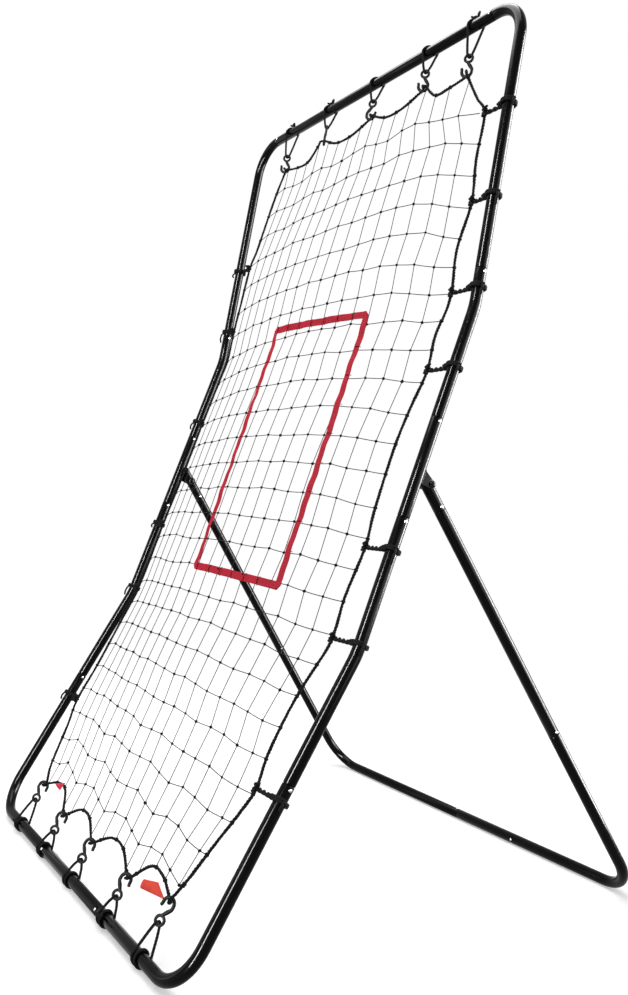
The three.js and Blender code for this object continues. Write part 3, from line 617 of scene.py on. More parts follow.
class Finish:
    """A material and the few calls its shader is written in."""

    def __init__(self, name):
        self.material = bpy.data.materials.new(name)
        self.material.use_nodes = True
        self.tree = self.material.node_tree
        self.shader = self.tree.nodes["Principled BSDF"]
        self.output = self.tree.nodes["Material Output"]

    def node(self, kind, options=None, values=None, output=0):
        made = self.tree.nodes.new(kind)
        for option, value in (options or {}).items():
            if option == "stops":
                self._set_stops(made.color_ramp, value)
            else:
                setattr(made, option, value)
        for socket, value in (values or {}).items():
            self.feed(made.inputs[socket], value)
        return Signal(self, made.outputs[output])

    @staticmethod
    def _set_stops(ramp, stops):
        while len(ramp.elements) < len(stops):
            ramp.elements.new(0.5)
        for element, (position, shade) in zip(ramp.elements, stops):
            element.position = position
            element.color = (*shade, 1) if hasattr(shade, "__len__") else (shade,) * 3 + (1,)

    def feed(self, socket, value):
        if isinstance(value, Signal):
            self.tree.links.new(value.socket, socket)
        elif hasattr(value, "__len__") and len(value) == 3 and socket.type == "RGBA":
            socket.default_value = (*value, 1)
        else:
            socket.default_value = value

    def set(self, **values):
        """Sets or links sockets of the shader, named with underscores for spaces."""
        names = {"specular": "Specular IOR Level", "glow": "Emission Color",
                 "glow_strength": "Emission Strength"}
        for name, value in values.items():
            socket = self.shader.inputs[names.get(name, name.replace("_", " ").title())]
            self.feed(socket, value)
        return self.material

    def position(self):
        return self.node("ShaderNodeTexCoord", output="Object")

    def along_and_round(self):
        """The cord's own coordinates: metres along it, and turns round it."""
        uv = self.node("ShaderNodeUVMap", {"uv_map": "cord"})
        return (
            self.node("ShaderNodeSeparateXYZ", values={0: uv}, output="X"),
            self.node("ShaderNodeSeparateXYZ", values={0: uv}, output="Y"),
        )

    def noise(self, scale, detail=2.0, roughness=0.5, where=None):
        return self.node(
            "ShaderNodeTexNoise", {},
            {"Vector": where or self.position(), "Scale": scale, "Detail": detail,
             "Roughness": roughness},
        )

    def blend(self, share, first, second):
        """Colour that goes from `first` to `second` as `share` goes from 0 to 1."""
        return self.node(
            "ShaderNodeMix", {"data_type": "RGBA"}, {0: share, 6: first, 7: second}, output=2
        )

    def between(self, value, low, high, to_low=0.0, to_high=1.0):
        return self.node(
            "ShaderNodeMapRange", {"clamp": True},
            {"Value": value, "From Min": low, "From Max": high,
             "To Min": to_low, "To Max": to_high},
        )

    def bump(self, height, distance, strength=1.0):
        return self.node(
            "ShaderNodeBump", {}, {"Strength": strength, "Distance": distance, "Height": height}
        )


def shade(base, share):
    return tuple(min(channel * share, 1) for channel in base)


FULL_TURN = 2 * math.pi
UPPER_CREASE, LOWER_CREASE = 1.112, 1.005  # heights of the dents at the rails' upper bend


def paint_finish():
    """Gloss powder coat: faint orange peel, small dents at a bend, dust and scuffs that dull it."""
    colours = settings()[2]
    finish = Finish("gloss_black_powder_coat")
    peel = finish.noise(900, 2)
    up = finish.node("ShaderNodeSeparateXYZ", values={0: finish.position()}, output="Z")
    creased = finish.between((up - UPPER_CREASE).size(), 0.012, 0.034, 1, 0)
    creased = creased.larger(finish.between((up - LOWER_CREASE).size(), 0.006, 0.02, 0.6, 0))
    dent = finish.noise(70, 1)
    dust = finish.between(finish.noise(26, 5, 0.65), 0.5, 0.75)
    scuff = finish.between(finish.noise(160, 4, 0.7), 0.62, 0.72)
    base = finish.blend(dust * 0.35, colours.paint, shade(colours.paint, 2.4))
    base = finish.blend(scuff * 0.3, base, (0.02, 0.02, 0.021))
    return finish.set(
        base_color=base,
        roughness=0.16 + dust * 0.1 + scuff * 0.18,
        specular=0.05,
        normal=finish.bump(peel * 0.012 + dent * creased, 0.003, 0.5),
    )


def steel_finish():
    """Zinc-plated steel: soft tarnish and fine scratches."""
    colours = settings()[2]
    finish = Finish("bright_zinc_steel")
    tarnish = finish.between(finish.noise(700, 4), 0.42, 0.68)
    scratch = finish.noise(4200, 2)
    return finish.set(
        base_color=finish.blend(tarnish * 0.5, colours.steel, shade(colours.steel, 0.62)),
        metallic=0.96,
        roughness=0.16 + tarnish * 0.16 + scratch * 0.08,
        normal=finish.bump(scratch, 0.00003, 0.3),
    )


def hook_finish():
    """Moulded black plastic with a fine satin grain and paler mould lines."""
    colours = settings()[2]
    finish = Finish("moulded_black_plastic")
    grain = finish.noise(2600, 3)
    flow = finish.between(finish.noise(220, 3), 0.4, 0.7)
    return finish.set(
        base_color=finish.blend(flow * 0.6, colours.hook, shade(colours.hook, 2.2)),
        roughness=0.4 + flow * 0.14 + grain * 0.08,
        specular=0.03,
        normal=finish.bump(grain, 0.00008, 0.5),
    )


def braid_finish(name, base, strands, pitch):
    """Braided cover: strands that cross over and under round the cord, coloured with painted shade
    in the grooves between them and a painted highlight on their crowns.
    """
    finish = Finish(name)
    along, turn = finish.along_and_round()
    left = (along * (FULL_TURN / pitch) + turn * (FULL_TURN * strands)).sine()
    right = (along * (FULL_TURN / pitch) - turn * (FULL_TURN * strands)).sine()
    weave = left.larger(right)
    fibre = finish.noise(5200, 2)
    height = weave * 0.8 + fibre * 0.2
    lit = finish.between(height, -0.2, 1.0)
    return finish.set(
        # Painted light: the colour runs from a shaded copy in the grooves to a lit copy on the
        # strands' crowns, following the weave's height.
        base_color=finish.blend(lit, shade(base, 0.45), shade(base, 1.9)),
        roughness=0.86 - lit * 0.14,
        specular=0.02,
        normal=finish.bump(height, 0.00022, 0.7),
    )


THREADS_IN_STRAND = 5


def strand_finish(name, base, pitch, painted_highlight_gain=2.2):
    """Twisted fibres: fine threads that run slantwise round each strand, with worn fuzz, coloured
    with painted shade between the threads and a painted highlight on them.
    """
    finish = Finish(name)
    along, turn = finish.along_and_round()
    threads = (along * (FULL_TURN / pitch) + turn * (FULL_TURN * THREADS_IN_STRAND)).sine()
    fuzz = finish.noise(1500, 4, 0.7)
    height = threads * 0.5 + fuzz * 0.9
    lit = finish.between(height, 0.1, 1.0)
    return finish.set(
        # Painted light: a shaded copy of the colour where threads and fuzz are low, and a lit copy,
        # brighter by the last argument, where they are high.
        base_color=finish.blend(lit, shade(base, 0.5), shade(base, painted_highlight_gain)),
        roughness=0.92 - lit * 0.1,
        specular=0.02,
        normal=finish.bump(height, 0.0003, 0.8),
    )


STITCH_LENGTH = 0.0032
STITCH_LINE = 0.385  # from the tape's middle, as a share of its width


def woven_finish(name, base, rib=0.0011, ends=22):
    """Woven tape: ribs across it, warp threads along it, stitched near both edges, with painted
    shade and a painted highlight on the weave.
    """
    finish = Finish(name)
    along, across_it = finish.along_and_round()
    weft = (along * (FULL_TURN / rib)).sine()
    warp = (across_it * (FULL_TURN * ends / 2)).sine()
    weave = weft * warp
    fibre = finish.noise(2400, 3)
    soil = finish.between(finish.noise(60, 4), 0.42, 0.74)
    from_middle = (across_it - 0.5).size()
    near_edge = finish.between(from_middle, 0.4, 0.5)
    stitch_line = finish.between((from_middle - STITCH_LINE).size(), 0.012, 0.03, 1.0, 0.0)
    stitch = stitch_line * (along * (FULL_TURN / STITCH_LENGTH)).sine().over(-0.3)
    height = weave * 0.5 + fibre * 0.3 - near_edge * 0.4 + stitch * 0.8
    lit = finish.between(weave + fibre * 0.6, -0.6, 1.2)
    # Painted light: a shaded copy of the colour where the weave is low and a lit copy where it is
    # high.
    tone = finish.blend(lit, shade(base, 0.72), shade(base, 1.18))
    tone = finish.blend(soil * 0.25, tone, shade(base, 0.55))
    tone = finish.blend(stitch * 0.5, tone, shade(base, 0.6))
    return finish.set(
        base_color=tone,
        roughness=0.82 - lit * 0.12,
        specular=0.03,
        normal=finish.bump(height, 0.00018, 0.6),
    )


def make_finishes():
    """All materials of the object, by the record's slot names."""
    colours = settings()[2]
    return {
        "black_steel": paint_finish(),
        "bright_steel": steel_finish(),
        "black_hook": hook_finish(),
        "elastic_cord": braid_finish("braided_elastic", colours.elastic, 4, 0.0042),
        "border_rope": strand_finish("twisted_rope", colours.rope, 0.0026),
        "net_twine": strand_finish("net_twine", colours.twine, 0.0015, 1.6),
        "net_knots": strand_finish("tarred_knots", colours.knot, 0.0015, 1.5),
        "red_webbing": woven_finish("crimson_webbing", colours.webbing),
        "orange_tag": woven_finish("orange_tag_cloth", colours.orange_tag, 0.0009, 30),
        "pink_tag": woven_finish("pink_tag_cloth", colours.pink_tag, 0.0009, 30),
    }


def finish_named(slot):
    """The material of a slot, made with all the others the first time it is asked for."""
    if "made" not in finish_named.__dict__:
        finish_named.made = make_finishes()
    return finish_named.made[slot]


# ---- tubes ----
BEND_STEPS = 8
CORNER_TURN_STEPS = 16
SEAM_TAPER = 0.0012
RIM_EASE = 0.00025
DRILL_REACH = 4.8  # length of the drill that cuts a button's hole, in tube walls


class TubeMaker:
    """Draws the frame's and the leg's tubes at the places that the sizes give."""

    def __init__(self):
        self.sizes = settings()[0]
        self.rails = Rails()
        self.radius = self.rails.radius
        self.bore = self.radius - self.sizes.tube_wall
        self.plug = self.bore - self.sizes.gap
        self.buttons = {}

    # -- places --
    def pivot(self, side):
        sizes, rails = self.sizes, self.rails
        x = side * (rails.half - sizes.leg_inset)
        return rails.at(x, sizes.hinge_along, sizes.hinge_behind)

    def leg_down(self, side):
        tilt, splay = self.sizes.leg_lean, self.sizes.leg_splay
        down = Vector((0, math.sin(tilt), -math.cos(tilt))) * math.cos(splay)
        down.x = side * math.sin(splay)
        return down

    def leg_reach(self):
        return (self.pivot(1).z - self.radius) / -self.leg_down(1).z

    def foot(self, side):
        return self.pivot(side) + self.leg_down(side) * self.leg_reach()

    def note_button(self, name, seam, into_socket, out):
        """Remembers where a spring button stands, so that its holes can be cut."""
        out = (out - into_socket * out.dot(into_socket)).normalized()
        self.buttons[name] = (seam + into_socket * self.sizes.button_from_seam, out)

    def note_all_buttons(self):
        sizes, rails = self.sizes, self.rails
        for name, side in SIDES.items():
            x, inward = side * rails.half, ACROSS * -side
            for label, s in (("lower", sizes.lower_seam), ("below_hinge", sizes.hinge_tube_start),
                             ("above_hinge", sizes.hinge_tube_end), ("upper", sizes.upper_seam)):
                self.note_button(f"{name}_{label}", rails.at(x, s), -rails.up(s), ACROSS)
            bottom = rails.at(side * sizes.bottom_seam, 0)
            self.note_button(f"{name}_bottom", bottom, inward, -rails.rear(0))
            top = rails.at(side * (rails.half - sizes.top_seam_inset), rails.end)
            self.note_button(f"{name}_top", top, inward, -rails.rear(rails.end))
            for label, down in (("upper", sizes.leg_upper_seam), ("lower", sizes.leg_lower_seam)):
                way = self.leg_down(side)
                self.note_button(f"{name}_leg_{label}", self.pivot(side) + way * down, -way, ACROSS)
        base = self.foot(1)
        base.x = 0
        self.note_button("leg_base", base, -ACROSS, UPRIGHT)

    # -- drawing --
    def begin(self, seam, way, end):
        """Starts a tube at a seam, with a drawn-down plug or an open socket there."""
        sizes = self.sizes
        if end == "plug":
            drawn = TubeRun(seam - way * sizes.plug_length, way, self.plug)
            drawn.run(sizes.plug_length - SEAM_TAPER)
            return drawn.run(SEAM_TAPER, self.radius)
        back = sizes.seam_groove if end == "socket" else 0
        return TubeRun(seam + way * back, way, self.radius)

    def end(self, drawn, distance, end):
        """Runs a tube to a seam `distance` ahead and finishes its end there."""
        if end == "plug":
            drawn.run(distance)
            drawn.run(SEAM_TAPER, self.plug)
            return drawn.run(self.sizes.plug_length - SEAM_TAPER)
        return drawn.run(distance - (self.sizes.seam_groove if end == "socket" else 0))

    def wall(self, obj, buttons=()):
        """Gives a drawn tube its steel wall, eased rims and button holes."""
        modify(obj, "SOLIDIFY", thickness=self.sizes.tube_wall, offset=-1)
        ease_edges(obj, RIM_EASE, 42)
        for name in buttons:
            place, out = self.buttons[name]
            self.drill(obj, place + out * self.radius, out, self.sizes.button_radius)
        smooth(obj)

    def drill(self, obj, place, way, radius):
        deselect()
        bpy.ops.mesh.primitive_cylinder_add(
            vertices=24, radius=radius + self.sizes.gap,
            depth=self.sizes.tube_wall * DRILL_REACH,
            location=place, rotation=way.to_track_quat("Z", "Y").to_euler(),
        )
        drill = settle(bpy.context.object, "drill")
        modify(obj, "BOOLEAN", operation="DIFFERENCE", object=drill, solver="EXACT")
        discard(drill)

    def side_tube(self, x, low, high, drawn_name, buttons):
        """A piece of a side rail from seam to seam, with the bend between them if there is one."""
        rails = self.rails
        way = rails.up(low)
        drawn = self.begin(rails.at(x, low), way, "plug")
        done = low
        for i in (1, 2):
            bend_at = rails.starts[i]
            if low < bend_at < high:
                turn = rails.leans[i - 1] - rails.leans[i]
                radius = rails.soft / math.tan(turn / 2)
                drawn.run(bend_at - rails.soft - done)
                drawn.bend(UPRIGHT, turn, radius, BEND_STEPS)
                done = bend_at + rails.soft
        self.end(drawn, high - done, "socket")
        obj = drawn.finish(drawn_name)
        self.wall(obj, buttons)
        return obj


def build_frame_tubes(maker):
    """Five tubes up each side, and the two centre tubes that join the sides."""
    sizes, rails = maker.sizes, maker.rails
    steel = finish_named("black_steel")
    for name, side in SIDES.items():
        x, inward = side * rails.half, ACROSS * -side
        corner = sizes.corner_radius
        drawn = maker.begin(rails.at(side * sizes.bottom_seam, 0), -inward, "plug")
        drawn.run(rails.half - corner - sizes.bottom_seam)
        drawn.bend(rails.up(0), math.pi / 2, corner, CORNER_TURN_STEPS)
        maker.end(drawn, sizes.lower_seam - corner, "socket")
        obj = drawn.finish(f"{name}_bottom_corner")
        maker.wall(obj, (f"{name}_bottom", f"{name}_lower"))
        dress(obj, steel, "frame", "black_steel", f"{name}_bottom_corner_tube")

        runs = {
            "lower_bent": (sizes.lower_seam, sizes.hinge_tube_start, "lower", "below_hinge"),
            "hinge": (sizes.hinge_tube_start, sizes.hinge_tube_end, "below_hinge", "above_hinge"),
            "upper_bent": (sizes.hinge_tube_end, sizes.upper_seam, "above_hinge", "upper"),
        }
        for label, (low, high, low_button, high_button) in runs.items():
            holes = (f"{name}_{low_button}", f"{name}_{high_button}")
            obj = maker.side_tube(x, low, high, f"{name}_{label}", holes)
            dress(obj, steel, "frame", "black_steel", f"{name}_{label}_tube")

        drawn = maker.begin(rails.at(x, sizes.upper_seam), rails.up(sizes.upper_seam), "plug")
        drawn.run(rails.end - corner - sizes.upper_seam)
        drawn.bend(inward, math.pi / 2, corner, CORNER_TURN_STEPS)
        maker.end(drawn, sizes.top_seam_inset - corner, "plug")
        obj = drawn.finish(f"{name}_top_corner")
        maker.wall(obj, (f"{name}_upper", f"{name}_top"))
        dress(obj, steel, "frame", "black_steel", f"{name}_top_corner_tube")

    for label, s, half in (("bottom", 0, sizes.bottom_seam),
                           ("top", rails.end, rails.half - sizes.top_seam_inset)):
        drawn = maker.begin(rails.at(-half, s), ACROSS, "socket")
        maker.end(drawn, 2 * half - sizes.seam_groove, "socket")
        obj = drawn.finish(f"{label}_centre")
        maker.wall(obj, (f"right_{label}", f"left_{label}"))
        dress(obj, steel, "frame", "black_steel", f"{label}_centre_tube")


def build_leg_tubes(maker):
    """Both sides of the U-shaped rear leg, each of three tubes that meet at the middle."""
    sizes = maker.sizes
    steel = finish_named("black_steel")
    for name, side in SIDES.items():
        way, pivot, reach = maker.leg_down(side), maker.pivot(side), maker.leg_reach()
        drawn = TubeRun(pivot - way * 2 * sizes.tube_diameter, way, maker.radius)
        maker.end(drawn, 2 * sizes.tube_diameter + sizes.leg_upper_seam, "socket")
        obj = drawn.finish(f"{name}_leg_upper")
        trim_leg_end(obj, maker, side)
        maker.wall(obj, (f"{name}_leg_upper",))
        dress(obj, steel, "rear_leg", "black_steel", f"{name}_leg_upper_tube")

        drawn = maker.begin(pivot + way * sizes.leg_upper_seam, way, "plug")
        maker.end(drawn, sizes.leg_lower_seam - sizes.leg_upper_seam, "socket")
        obj = drawn.finish(f"{name}_leg_middle")
        maker.wall(obj, (f"{name}_leg_upper", f"{name}_leg_lower"))
        dress(obj, steel, "rear_leg", "black_steel", f"{name}_leg_middle_tube")

        inward = ACROSS * -side
        sweep = way.angle(inward)
        set_back = sizes.corner_radius * math.tan(sweep / 2)
        drawn = maker.begin(pivot + way * sizes.leg_lower_seam, way, "plug")
        drawn.run(reach - set_back - sizes.leg_lower_seam)
        drawn.bend(inward, sweep, sizes.corner_radius, CORNER_TURN_STEPS)
        end = "plug" if side > 0 else "socket"
        maker.end(drawn, abs(maker.foot(side).x) - set_back, end)
        obj = drawn.finish(f"{name}_leg_foot")
        maker.wall(obj, (f"{name}_leg_lower", "leg_base"))
        dress(obj, steel, "rear_leg", "black_steel", f"{name}_leg_foot_tube")


def trim_leg_end(obj, maker, side):
    """Cuts the leg's upper end parallel to the rail that it leans against when open."""
    rear = maker.rails.rear(maker.sizes.hinge_along)
    x = side * (maker.rails.half - maker.sizes.leg_inset)
    clear = maker.radius + maker.sizes.gap
    plane = maker.rails.at(x, maker.sizes.hinge_along, clear)
    select(obj)
    bpy.ops.object.mode_set(mode="EDIT")
    bpy.ops.mesh.select_all(action="SELECT")
    bpy.ops.mesh.bisect(plane_co=plane, plane_no=rear, clear_inner=True)
    bpy.ops.object.mode_set(mode="OBJECT")


# ---- buttons, bolts, tabs and the rivet ----
BUTTON_FLANGE_RADIUS, BUTTON_FLANGE_THICKNESS = 0.0036, 0.001
BUTTON_SPRING_ROOM = 0.0017  # between the flange and the plug's wall


def build_buttons(maker):
    """One domed spring button, copied to its seventeen holes."""
    sizes = maker.sizes
    steel = finish_named("bright_steel")
    top = maker.radius + sizes.button_proud
    inside = maker.plug - sizes.tube_wall - BUTTON_SPRING_ROOM
    flange = BUTTON_FLANGE_RADIUS
    r = sizes.button_radius
    master = turned("button_master", [
        (flange, inside - BUTTON_FLANGE_THICKNESS), (flange, inside), (r, inside),
        (r, top - 0.0011),
        (r * 0.94, top - 0.0007), (r * 0.8, top - 0.00035), (r * 0.55, top - 0.0001),
        (r * 0.25, top),
    ])
    ease_edges(master, 0.0001, 50, segments=1)
    smooth(master)
    for name, (place, out) in maker.buttons.items():
        obj = copy_to(master, f"{name}_spring_button", standing(out, place))
        dress(obj, steel, f"{name}_button", "bright_steel", f"{name}_button")
    discard(master)


TAB_THICKNESS, TAB_OUT = 0.003, 0.002  # out: from the rail's centre-line to the tab's middle
TAB_NOSE_RADIUS = 0.007
TAB_FOOT = (-0.006, 0.016)  # ends of the tab's foot, up the rail from the pivot
WELD_HALF_LENGTH, WELD_RIPPLES = 0.012, 60


def build_hinges(maker):
    """Bolt with its dome head, washer and nut, the welded tab and the weld round its foot."""
    sizes, rails = maker.sizes, maker.rails
    bolt_radius, washer = 0.004, 0.0009
    head_radius, head_height, nut_radius, nut_height = 0.0072, 0.0036, 0.0058, 0.0036
    tilt = head_radius * math.tan(sizes.leg_splay)
    seat = sizes.leg_inset + maker.radius + tilt + sizes.gap
    nut_face = -(TAB_OUT + TAB_THICKNESS / 2 + sizes.gap)
    for name, side in SIDES.items():
        inward = ACROSS * -side
        middle = maker.pivot(side)
        middle.x = side * rails.half
        dome = seat + head_height
        bolt = turned("bolt", [
            (bolt_radius * 0.8, nut_face - nut_height - 0.001),
            (bolt_radius, nut_face - nut_height - 0.0005), (bolt_radius, seat),
            (head_radius + 0.0008, seat), (head_radius + 0.0008, seat + washer),
            (head_radius * 0.97, seat + washer), (head_radius, seat + washer + 0.0006),
            (head_radius * 0.94, dome - 0.0022), (head_radius * 0.78, dome - 0.0011),
            (head_radius * 0.5, dome - 0.0003), (head_radius * 0.18, dome),
        ], 40)
        nut = turned("nut", [
            (nut_radius * 0.93, nut_face - nut_height),
            (nut_radius, nut_face - nut_height + 0.0006),
            (nut_radius, nut_face - 0.0005), (nut_radius * 0.95, nut_face),
        ], 6)
        ease_edges(nut, 0.0003, 25)
        select(bolt)
        nut.select_set(True)
        bpy.ops.object.join()
        bolt.data.transform(standing(inward, middle))
        bolt.name = f"{name}_pivot_bolt"
        smooth(bolt)
        dress(bolt, finish_named("black_steel"), "frame", "bright_steel", f"{name}_hinge_bolt")

        tab = tab_plate(sizes.hinge_behind, rails.radius - 0.0006)
        origin = rails.at(side * (rails.half + TAB_OUT), sizes.hinge_along)
        up, rear = rails.up(sizes.hinge_along), rails.rear(sizes.hinge_along)
        tab.data.transform(axes(up, rear, up.cross(rear), origin))
        tab.name = f"{name}_hinge_tab"
        smooth(tab)
        dress(tab, finish_named("black_steel"), "frame", "black_steel")

        weld = weld_bead(rails, side, sizes.hinge_along + sum(TAB_FOOT) / 2,
                         f"{name}_tab_weld")
        dress(weld, finish_named("black_steel"), "frame", "black_steel")


def tab_plate(nose_at, foot_at):
    """A flat tab: a disc whose lower half is pressed out into a straight foot from end to end."""
    chord = nose_at - TAB_NOSE_RADIUS * 0.25
    half_chord = TAB_NOSE_RADIUS * 0.968
    draw_circle(48, TAB_NOSE_RADIUS, (0, nose_at, -TAB_THICKNESS / 2), fill="NGON")
    bpy.ops.object.mode_set(mode="OBJECT")
    obj = bpy.context.object
    select_points(obj, lambda place: place.y < chord)
    spread = (TAB_FOOT[1] - TAB_FOOT[0]) / 2 / half_chord
    pressed_from = (TAB_FOOT[0] + TAB_FOOT[1]) / 2 / (1 - spread)
    bpy.ops.transform.resize(value=(spread, 0, 1), center_override=(pressed_from, foot_at, 0))
    bpy.ops.mesh.select_all(action="SELECT")
    bpy.ops.mesh.extrude_region_move(TRANSFORM_OT_translate={"value": (0, 0, TAB_THICKNESS)})
    bpy.ops.mesh.select_mode(type="FACE")
    bpy.ops.object.mode_set(mode="OBJECT")
    face_outward(obj)
    ease_edges(obj, 0.0004, 60)
    return obj


def weld_bead(rails, side, along, name):
    """Rippled fillet on both faces of the tab's foot."""
    cordage = Cordage()
    x = side * (rails.half + TAB_OUT)
    for face in (-1, 1):
        offset = face * (TAB_THICKNESS / 2 + 0.0006)
        behind = math.sqrt(rails.radius**2 - (TAB_OUT * side + offset) ** 2) + 0.0002
        s = np.linspace(along - WELD_HALF_LENGTH, along + WELD_HALF_LENGTH, WELD_RIPPLES)
        line = rails.place(x + offset, s, behind)
        radii = 0.0013 + 0.00022 * np.sin(np.arange(WELD_RIPPLES) * 1.6)
        radii[[0, -1]] *= 0.5
        cordage.cord(line, radii, 8)
    return cordage.make(name)


def build_rivet(maker):
    """Domed rivet on the leg's base, toward the pitcher."""
    base = maker.foot(1)
    base.x = maker.sizes.rivet_x
    r = maker.radius
    rivet = turned("base_rivet", [
        (0.0024, r - 0.001), (0.0028, r + 0.0002), (0.0026, r + 0.0007), (0.0019, r + 0.0012),
        (0.0008, r + 0.0015),
    ], 24)
    rivet.data.transform(standing(Vector((0, -1, 0)), base))
    smooth(rivet)
    dress(rivet, finish_named("bright_steel"), "rear_leg", "bright_steel")


# ---- hooks and their elastic loops ----
# Each hook's x, and the side that its tip is on.
TOP_HOOKS = ((-0.315, -1), (-0.151, -1), (0.023, 1), (0.193, -1), (0.321, -1))
BOTTOM_HOOKS = ((-0.314, 1), (-0.16, 1), (-0.002, 1), (0.17, 1), (0.318, -1))
TOP_DROPS = (0.062, 0.043, 0.043, 0.043, 0.062)  # eyes below the top rail
BOTTOM_RISES = (0.056, 0.038, 0.038, 0.038, 0.056)  # eyes above the bottom rail
HOOK_TURNS = {  # degrees that each hook's plane has turned, from across toward the rear
    "top_1": 50, "top_2": -32, "top_3": 34, "top_4": 44, "top_5": 36,
    "bottom_1": 50, "bottom_2": 55, "bottom_3": 50, "bottom_4": 45, "bottom_5": 40,
}
HOOK_SEAT = 0.0283  # from a hook's eye to the rope in its bowl


class Hanger:
    """One hook's place. Its own coordinates: u across, v away from the rail, w to the rear."""

    def __init__(self, rails, name, x, tip, s, to_rail):
        self.rails, self.name, self.x = rails, name, x
        self.tip, self.s, self.to_rail = tip, s, to_rail
        self.rail = rails.end if to_rail > 0 else 0.0

    def place(self, points):
        points = np.asarray(points, float)
        return self.rails.place(
            self.x + points[:, 0], self.s - self.to_rail * points[:, 1], points[:, 2]
        )

    def matrix(self):
        """Takes a hook modelled in u, w, -v to its place."""
        up = self.rails.up(self.s) * self.to_rail
        turn = Matrix.Rotation(math.radians(HOOK_TURNS[self.name]) * self.tip, 4, "Z")
        return axes(ACROSS * self.tip, self.rails.rear(self.s), up,
                    self.rails.at(self.x, self.s)) @ turn

    def seat(self):
        """Where the rope lies in the bowl."""
        return self.s - self.to_rail * HOOK_SEAT


def all_hangers(rails):
    made = []
    for i, ((x, tip), drop) in enumerate(zip(TOP_HOOKS, TOP_DROPS)):
        made.append(Hanger(rails, f"top_{i + 1}", x, tip, rails.end - drop, 1))
    for i, ((x, tip), rise) in enumerate(zip(BOTTOM_HOOKS, BOTTOM_RISES)):
        made.append(Hanger(rails, f"bottom_{i + 1}", x, tip, rise, -1))
    return made


def hook_master():
    """Eye, swelling neck and a J of round section, melted into one moulding."""
    sizes = settings()[1]
    half = sizes.hook_thickness / 2
    outer, bowl = sizes.eye_radius, sizes.hook_width / 2
    line = bowl - half
    bowl_at = sizes.hook_length - bowl
    deselect()
    bpy.ops.mesh.primitive_torus_add(
        major_radius=outer - half * 0.86, minor_radius=half * 0.86, major_segments=40,
        minor_segments=14, location=(0, 0, 0), rotation=(math.pi / 2, 0, 0),
    )
    eye = settle(bpy.context.object, "eye")

    neck_top = Vector((0.0006, 0, -outer + half * 0.6))
    neck_low = Vector((-line, 0, -bowl_at + 0.0065))
    way = (neck_low - neck_top).normalized()
    turn = way.angle(Vector((0, 0, -1)))
    drawn = TubeRun(neck_top, way, half * 0.9, sides=16)
    drawn.run((neck_low - neck_top).length * 0.55, half * 1.2)
    drawn.run((neck_low - neck_top).length * 0.45, half)
    drawn.bend(Vector((0, 0, -1)), turn, 0.004, 4)
    drawn.run(max(0.0005, drawn.place.z + bowl_at))
    drawn.bend(ACROSS, math.pi, -drawn.place.x, 16)
    drawn.run(0.002, half * 0.96)
    drawn.bend(ACROSS, math.radians(24), 0.008, 4)
    drawn.run(0.0015, half * 0.9)
    drawn.run(0.0008, half * 0.6)
    shank = drawn.finish("shank", capped=True)
    select(eye)
    shank.select_set(True)
    bpy.ops.object.join()
    modify(eye, "REMESH", mode="VOXEL", voxel_size=0.00045)
    modify(eye, "SMOOTH", factor=0.5, iterations=3)
    eye.data.transform(Matrix.Scale(0.94, 4, (0, 1, 0)))
    eye.data.shade_smooth()
    return eye


def build_hooks(rails):
    """One moulding, copied to its ten places."""
    master = hook_master()
    plastic = finish_named("black_hook")
    for hanger in all_hangers(rails):
        obj = copy_to(master, f"{hanger.name}_moulded_hook", hanger.matrix())
        dress(obj, plastic, "frame", "black_hook", f"{hanger.name}_hook")
    discard(master)


BITE = 0.12  # how far the taut elastic is pressed flat on the rail, as a share of its radius
FORK = 0.0042  # the two runs of elastic at the eye, to the front and rear of it
FORK_DROP = 0.0045  # below the eye's hole
SPIRAL = (-0.004, 0.003, 0.0125)  # u where the elastic meets the rail, half-way round and last


def elastic_line(hanger, radius):
    """From the eye past the front of the rail, round it and back to the eye from behind.

    At the bottom rail the elastic takes one more turn.
    """
    net = settings()[1]
    wrap = hanger.rails.radius + radius * (1 - BITE)
    rail_v = -abs(hanger.rail - hanger.s)
    ring = net.eye_radius - net.hook_thickness
    points = [(-0.0015, -ring - FORK_DROP, -FORK)]
    for share in (0.35, 0.7):
        points.append((-0.0015 - 0.002 * share, -ring + (rail_v + ring) * share,
                       -FORK - (wrap - FORK) * share))
    more = 0 if hanger.to_rail > 0 else FULL_TURN
    turns = np.linspace(-math.pi / 2, math.pi / 2 + more, 9 + 2 * round(more * 1.3))
    across_it = np.interp(turns, [turns[0], turns.mean(), turns[-1]], SPIRAL)
    for angle, u in zip(turns, across_it):
        points.append((u, rail_v - wrap * math.cos(angle), wrap * math.sin(angle)))
    for share in (0.3, 0.65):
        points.append((SPIRAL[2] - 0.012 * share, rail_v + (-ring - rail_v) * share,
                       wrap - (wrap - FORK) * share))
    points.append((0.0012, -ring - FORK_DROP, FORK))
    points.append((0.0008, -ring - 0.0006, 0.003))
    points.append((0.0, -ring + 0.0021, 0.0))
    points.append((-0.0008, -ring - 0.0006, -0.003))
    return curve_through(hanger.place(points), 0.0015, closed=True)


# Loops with a knot in sight, and its size as a share of the largest.
KNOTTED = {"top_5": 0.9, "top_2": 0.9, "top_1": 0.5, "bottom_1": 0.8, "bottom_4": 0.9}


LOOP_KNOT, LOOP_TAIL = 0.0085, 0.009


